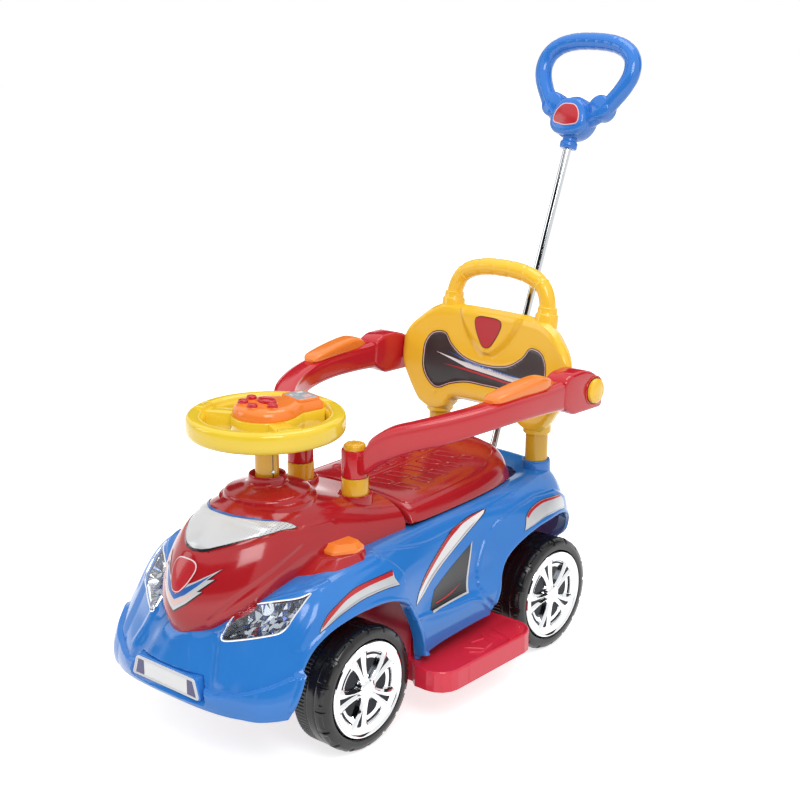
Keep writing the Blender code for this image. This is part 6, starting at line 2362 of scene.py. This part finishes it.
        rear_blue = traced(
            mm((119, 175), (140, 177.8), (166, 180.6), (213, 176), (166, 179.6), (140, 176.8)), (0, 3))
        rows = (
            ("fender_flash_edge", edging(flash, 0.0007), BLACK_INK, 0),
            ("fender_flash", flash, SILVER_INK, 1),
            ("fender_flash_red", flash_red, RED_INK, 2),
            ("fender_flash_line", flash_line, GREY_INK, 2),
            ("side_blade_edge", edging(blade, 0.0008), BLACK_INK, 0),
            ("side_blade", blade, WHITE_INK, 1),
            ("side_blade_red", blade_red, RED_INK, 2),
            ("side_blade_grey", blade_grey, GREY_INK, 2),
            ("side_field", field_line, MESH_INK, 0),
            ("side_field_border", border, SILVER_INK, 1),
            ("side_field_stroke", stroke, RED_INK, 1),
            ("rear_flash_edge", edging(rear, 0.0007), BLACK_INK, 0),
            ("rear_flash", rear, SILVER_INK, 1),
            ("rear_flash_red", rear_red, RED_INK, 2),
            ("rear_flash_blue", rear_blue, GREY_INK, 2),
        )
        return [self.layer(name, line, FROM_SIDE, tree, ink, level, True) for name, line, ink, level in rows]

    def back_panel(self) -> Pieces:
        """The backrest's dark panel with its double border and flashes, and the badge on the dome."""
        tree = self.backrest.tree
        spears = [
            (mm((-80, 70), (-30, 56), (40, 50), (88, 52), (40, 54.5), (-20, 60)), WHITE_INK),
            (mm((-62, 73), (-20, 61), (40, 56), (72, 57), (30, 59), (-25, 65)), BLUE_INK),
            (mm((-70, 56), (-30, 52), (30, 46.5), (70, 47), (30, 49), (-30, 54.5)), RED_INK),
            (mm((-50, 64), (-10, 59), (50, 53), (82, 56), (40, 57), (-10, 62)), SILVER_INK),
        ]
        badge = curve_through(
            mirrored_outline(mm((0, 126.2), (14, 125.6), (20.6, 121), (17.5, 108), (7.5, 91), (0, 87.5))), 4,
            True)
        pieces = [
            self.layer("back_panel_rim", self.backrest.panel(0.0), FROM_DRIVER, tree, BLACK_INK),
            self.layer("back_panel_line", self.backrest.panel(0.0012), FROM_DRIVER, tree, PINK_INK, 1),
            self.layer("back_panel_field", self.backrest.panel(0.0022), FROM_DRIVER, tree, SMOKE_INK, 2),
            self.layer(
                "back_badge_trim", inset(badge, -0.0009), FROM_DRIVER, tree, BLACK_INK, 0, slot=Slot.BADGE),
            self.layer(
                "back_badge_print", badge, FROM_DRIVER, tree, RED_INK, 1, slot=Slot.BADGE,
                stands_for=("back_badge",)),
        ]
        for k, (outline, ink) in enumerate(spears):
            pieces.append(self.layer(f"back_flash_{k}", outline, FROM_DRIVER, tree, ink, 3 + k % 2))
        return pieces


@dataclass
class NumberPlate:
    """The bare plate on the bumper: white, with dark blue ends in a silver frame, on a blue bed."""

    front: float = -0.3352

    def build(self) -> Pieces:
        """Makes the bed, the plate, its ends and its frame."""
        line = round_corners(
            mm((-52.8, 88.5), (51, 88.5), (52, 90.5), (46.2, 109.8), (44, 111.2), (-45, 111.2),
            (-47.4, 109.8), (-53.8, 90.5)), 0.0018, 4)
        outline = np.array(line)
        bed = Shape.stack(
            inset(outline, -0.0016), [(-0.315, 0.0), (self.front + 0.002, 0.0),
            (self.front + 0.0014, 0.0006)], axis="Y")
        plate = Shape.stack(
            line, [(self.front + 0.002, 0.0), (self.front + 0.0003, 0.0), (self.front, 0.0003)], axis="Y")
        rows = []
        for rise, move_in in mm((0.1, 0), (0.8, 0.5), (0.8, 2), (0.1, 2.5)):
            rows.append([(a, self.front - rise, b) for a, b in inset(outline, move_in)])
        frame_ring = Shape.sheet(rows, around=True)
        end = Shape.stack(
            round_corners(mm((35, 91.4), (48.8, 91.4), (43.8, 108.2), (35, 108.2)), 0.001),
            [(self.front + 0.0002, 0.0), (self.front - 0.0003, 0.0)], axis="Y")
        return [
            make_piece("plate_bed", bed, (BLUE,), Slot.BLUE),
            make_piece("plate_field", plate, (WHITE_INK,), Slot.PLATE, ("number_plate",)),
            make_piece("plate_ends", end.both(), (NAVY_INK,), Slot.PLATE),
            make_piece("plate_frame", frame_ring, (SILVER_INK,), Slot.PLATE),
        ]


@dataclass
class Studio:
    """Plain floor, soft lamps, white surroundings and the camera."""

    eye: Solid3 = (1.1737, -1.3656, 0.8425)
    target: Solid3 = (-0.1532, 0.1664, 0.2584)
    lens_px: float = 1532.44
    picture_px: float = 800.0
    sensor_mm: float = 36.0
    ambient: float = 0.62

    def build(self) -> None:
        """Sets up the camera, the floor, the lamps, the cards and the world."""
        self.camera()
        self.floor()
        self.world()
        self.lamp("key_softbox", (1.5, -1.2, 2.1), (0.0, 0.0, 0.2), 1.1, 26.0)
        self.lamp("fill_softbox", (-2.0, -1.4, 1.3), (0.0, 0.0, 0.25), 1.1, 9.0)
        self.lamp("top_softbox", (0.0, 0.6, 2.4), (0.0, 0.0, 0.15), 1.2, 14.0)
        self.card("card_behind", (-1.6, 1.8, 1.15), 2.6, 0.9)
        # Dark cards round the front and one behind the left side, a white gap between, clear of the floor
        for k, turn in enumerate((-62, -34, -6, 22, 46, 150)):
            a = math.radians(turn)
            self.card(f"card_front_{k}", (2.9 * math.sin(a), -2.9 * math.cos(a), 1.45), 1.36, 1.9)
        bpy.context.scene.view_settings.view_transform = "Standard"

    def camera(self) -> None:
        """The camera at the photograph's viewing angle."""
        data = bpy.data.cameras.new("camera")
        data.sensor_width = self.sensor_mm
        data.lens = self.lens_px * self.sensor_mm / self.picture_px
        bpy.context.scene.camera = new_object("camera", data, self.eye, self.target)

    def floor(self) -> None:
        """A round pale floor that keeps the shadow near the car and shows as white further off."""
        rings = [0.0, 0.4, 0.9, 1.8, 4.0, 9.0]
        rows = [
            [(r * math.cos(2 * math.pi * i / 64), r * math.sin(2 * math.pi * i / 64), -0.0004)
            for i in range(64)] for r in (max(r, 1e-4) for r in rings)]
        sheet = Shape.sheet(rows, around=True)
        mesh = bpy.data.meshes.new("studio_floor")
        mesh.from_pydata(sheet.points.tolist(), [], sheet.faces)
        mesh.materials.append(PaintedBoard("painted_board_white").material())
        new_object("studio_floor", mesh)

    @staticmethod
    def card(name: str, place: Solid3, width: float, height: float) -> None:
        """A dark studio card that only gloss shows, for contrast in the reflections.

        Args:
            name: its name.
            place: its middle; it faces the car.
            width: its width.
            height: its height.
        """
        mesh = bpy.data.meshes.new(name)
        w, h = width / 2, height / 2
        mesh.from_pydata([(-w, -h, 0), (w, -h, 0), (w, h, 0), (-w, h, 0)], [], [(0, 1, 2, 3)])
        mesh.materials.append(
            MouldedPlastic("studio_card_black", "#050505", "#070707", roughness=0.9).material())
        item = new_object(name, mesh, place, (0.0, 0.0, 0.2), "Z")
        item.visible_camera = item.visible_diffuse = item.visible_shadow = item.visible_transmission = False

    def world(self) -> None:
        """White surroundings: full for what is seen or mirrored, softer for what they light."""
        made = bpy.data.worlds.new("studio_white")
        made.use_nodes = True
        tree = made.node_tree
        tree.nodes.clear()
        strength = add_node(tree, "MapRange", Value=mirrored_rays(tree), To_Min=self.ambient, To_Max=1.0)
        glow = add_node(tree, "Background", Color=linear("#FFFFFF"), Strength=strength.outputs["Result"])
        add_node(tree, "OutputWorld", Surface=glow.outputs["Background"])
        bpy.context.scene.world = made

    @staticmethod
    def lamp(name: str, place: Solid3, target: Solid3, size: float, power: float) -> None:
        """A square soft lamp.

        Args:
            name: its name.
            place: where it stands.
            target: what it faces.
            size: its width and height.
            power: its power in watts.
        """
        data = bpy.data.lights.new(name, "AREA")
        data.size, data.energy = size, power
        new_object(name, data, place, target)


def main() -> None:
    """Builds every sub-assembly in order and reports its pieces."""
    logging.basicConfig(level=logging.INFO, format="%(name)s %(message)s")
    Studio().build()
    shell, bonnet, backrest = BodyShell(), Bonnet(), Backrest()
    built = shell.build() + bonnet.build() + Headlight(shell).build() + NumberPlate().build()
    built += SeatLid().build() + Base().build() + RoadWheel().build() + SteeringSet().build()
    for side in Side:
        built += GuardRail(side).build()
    built += backrest.build() + PushHandle().build() + Graphics(shell, bonnet, backrest).build()
    LOG.info("%d pieces dressed", len(built))


if __name__ == "__main__":
    main()
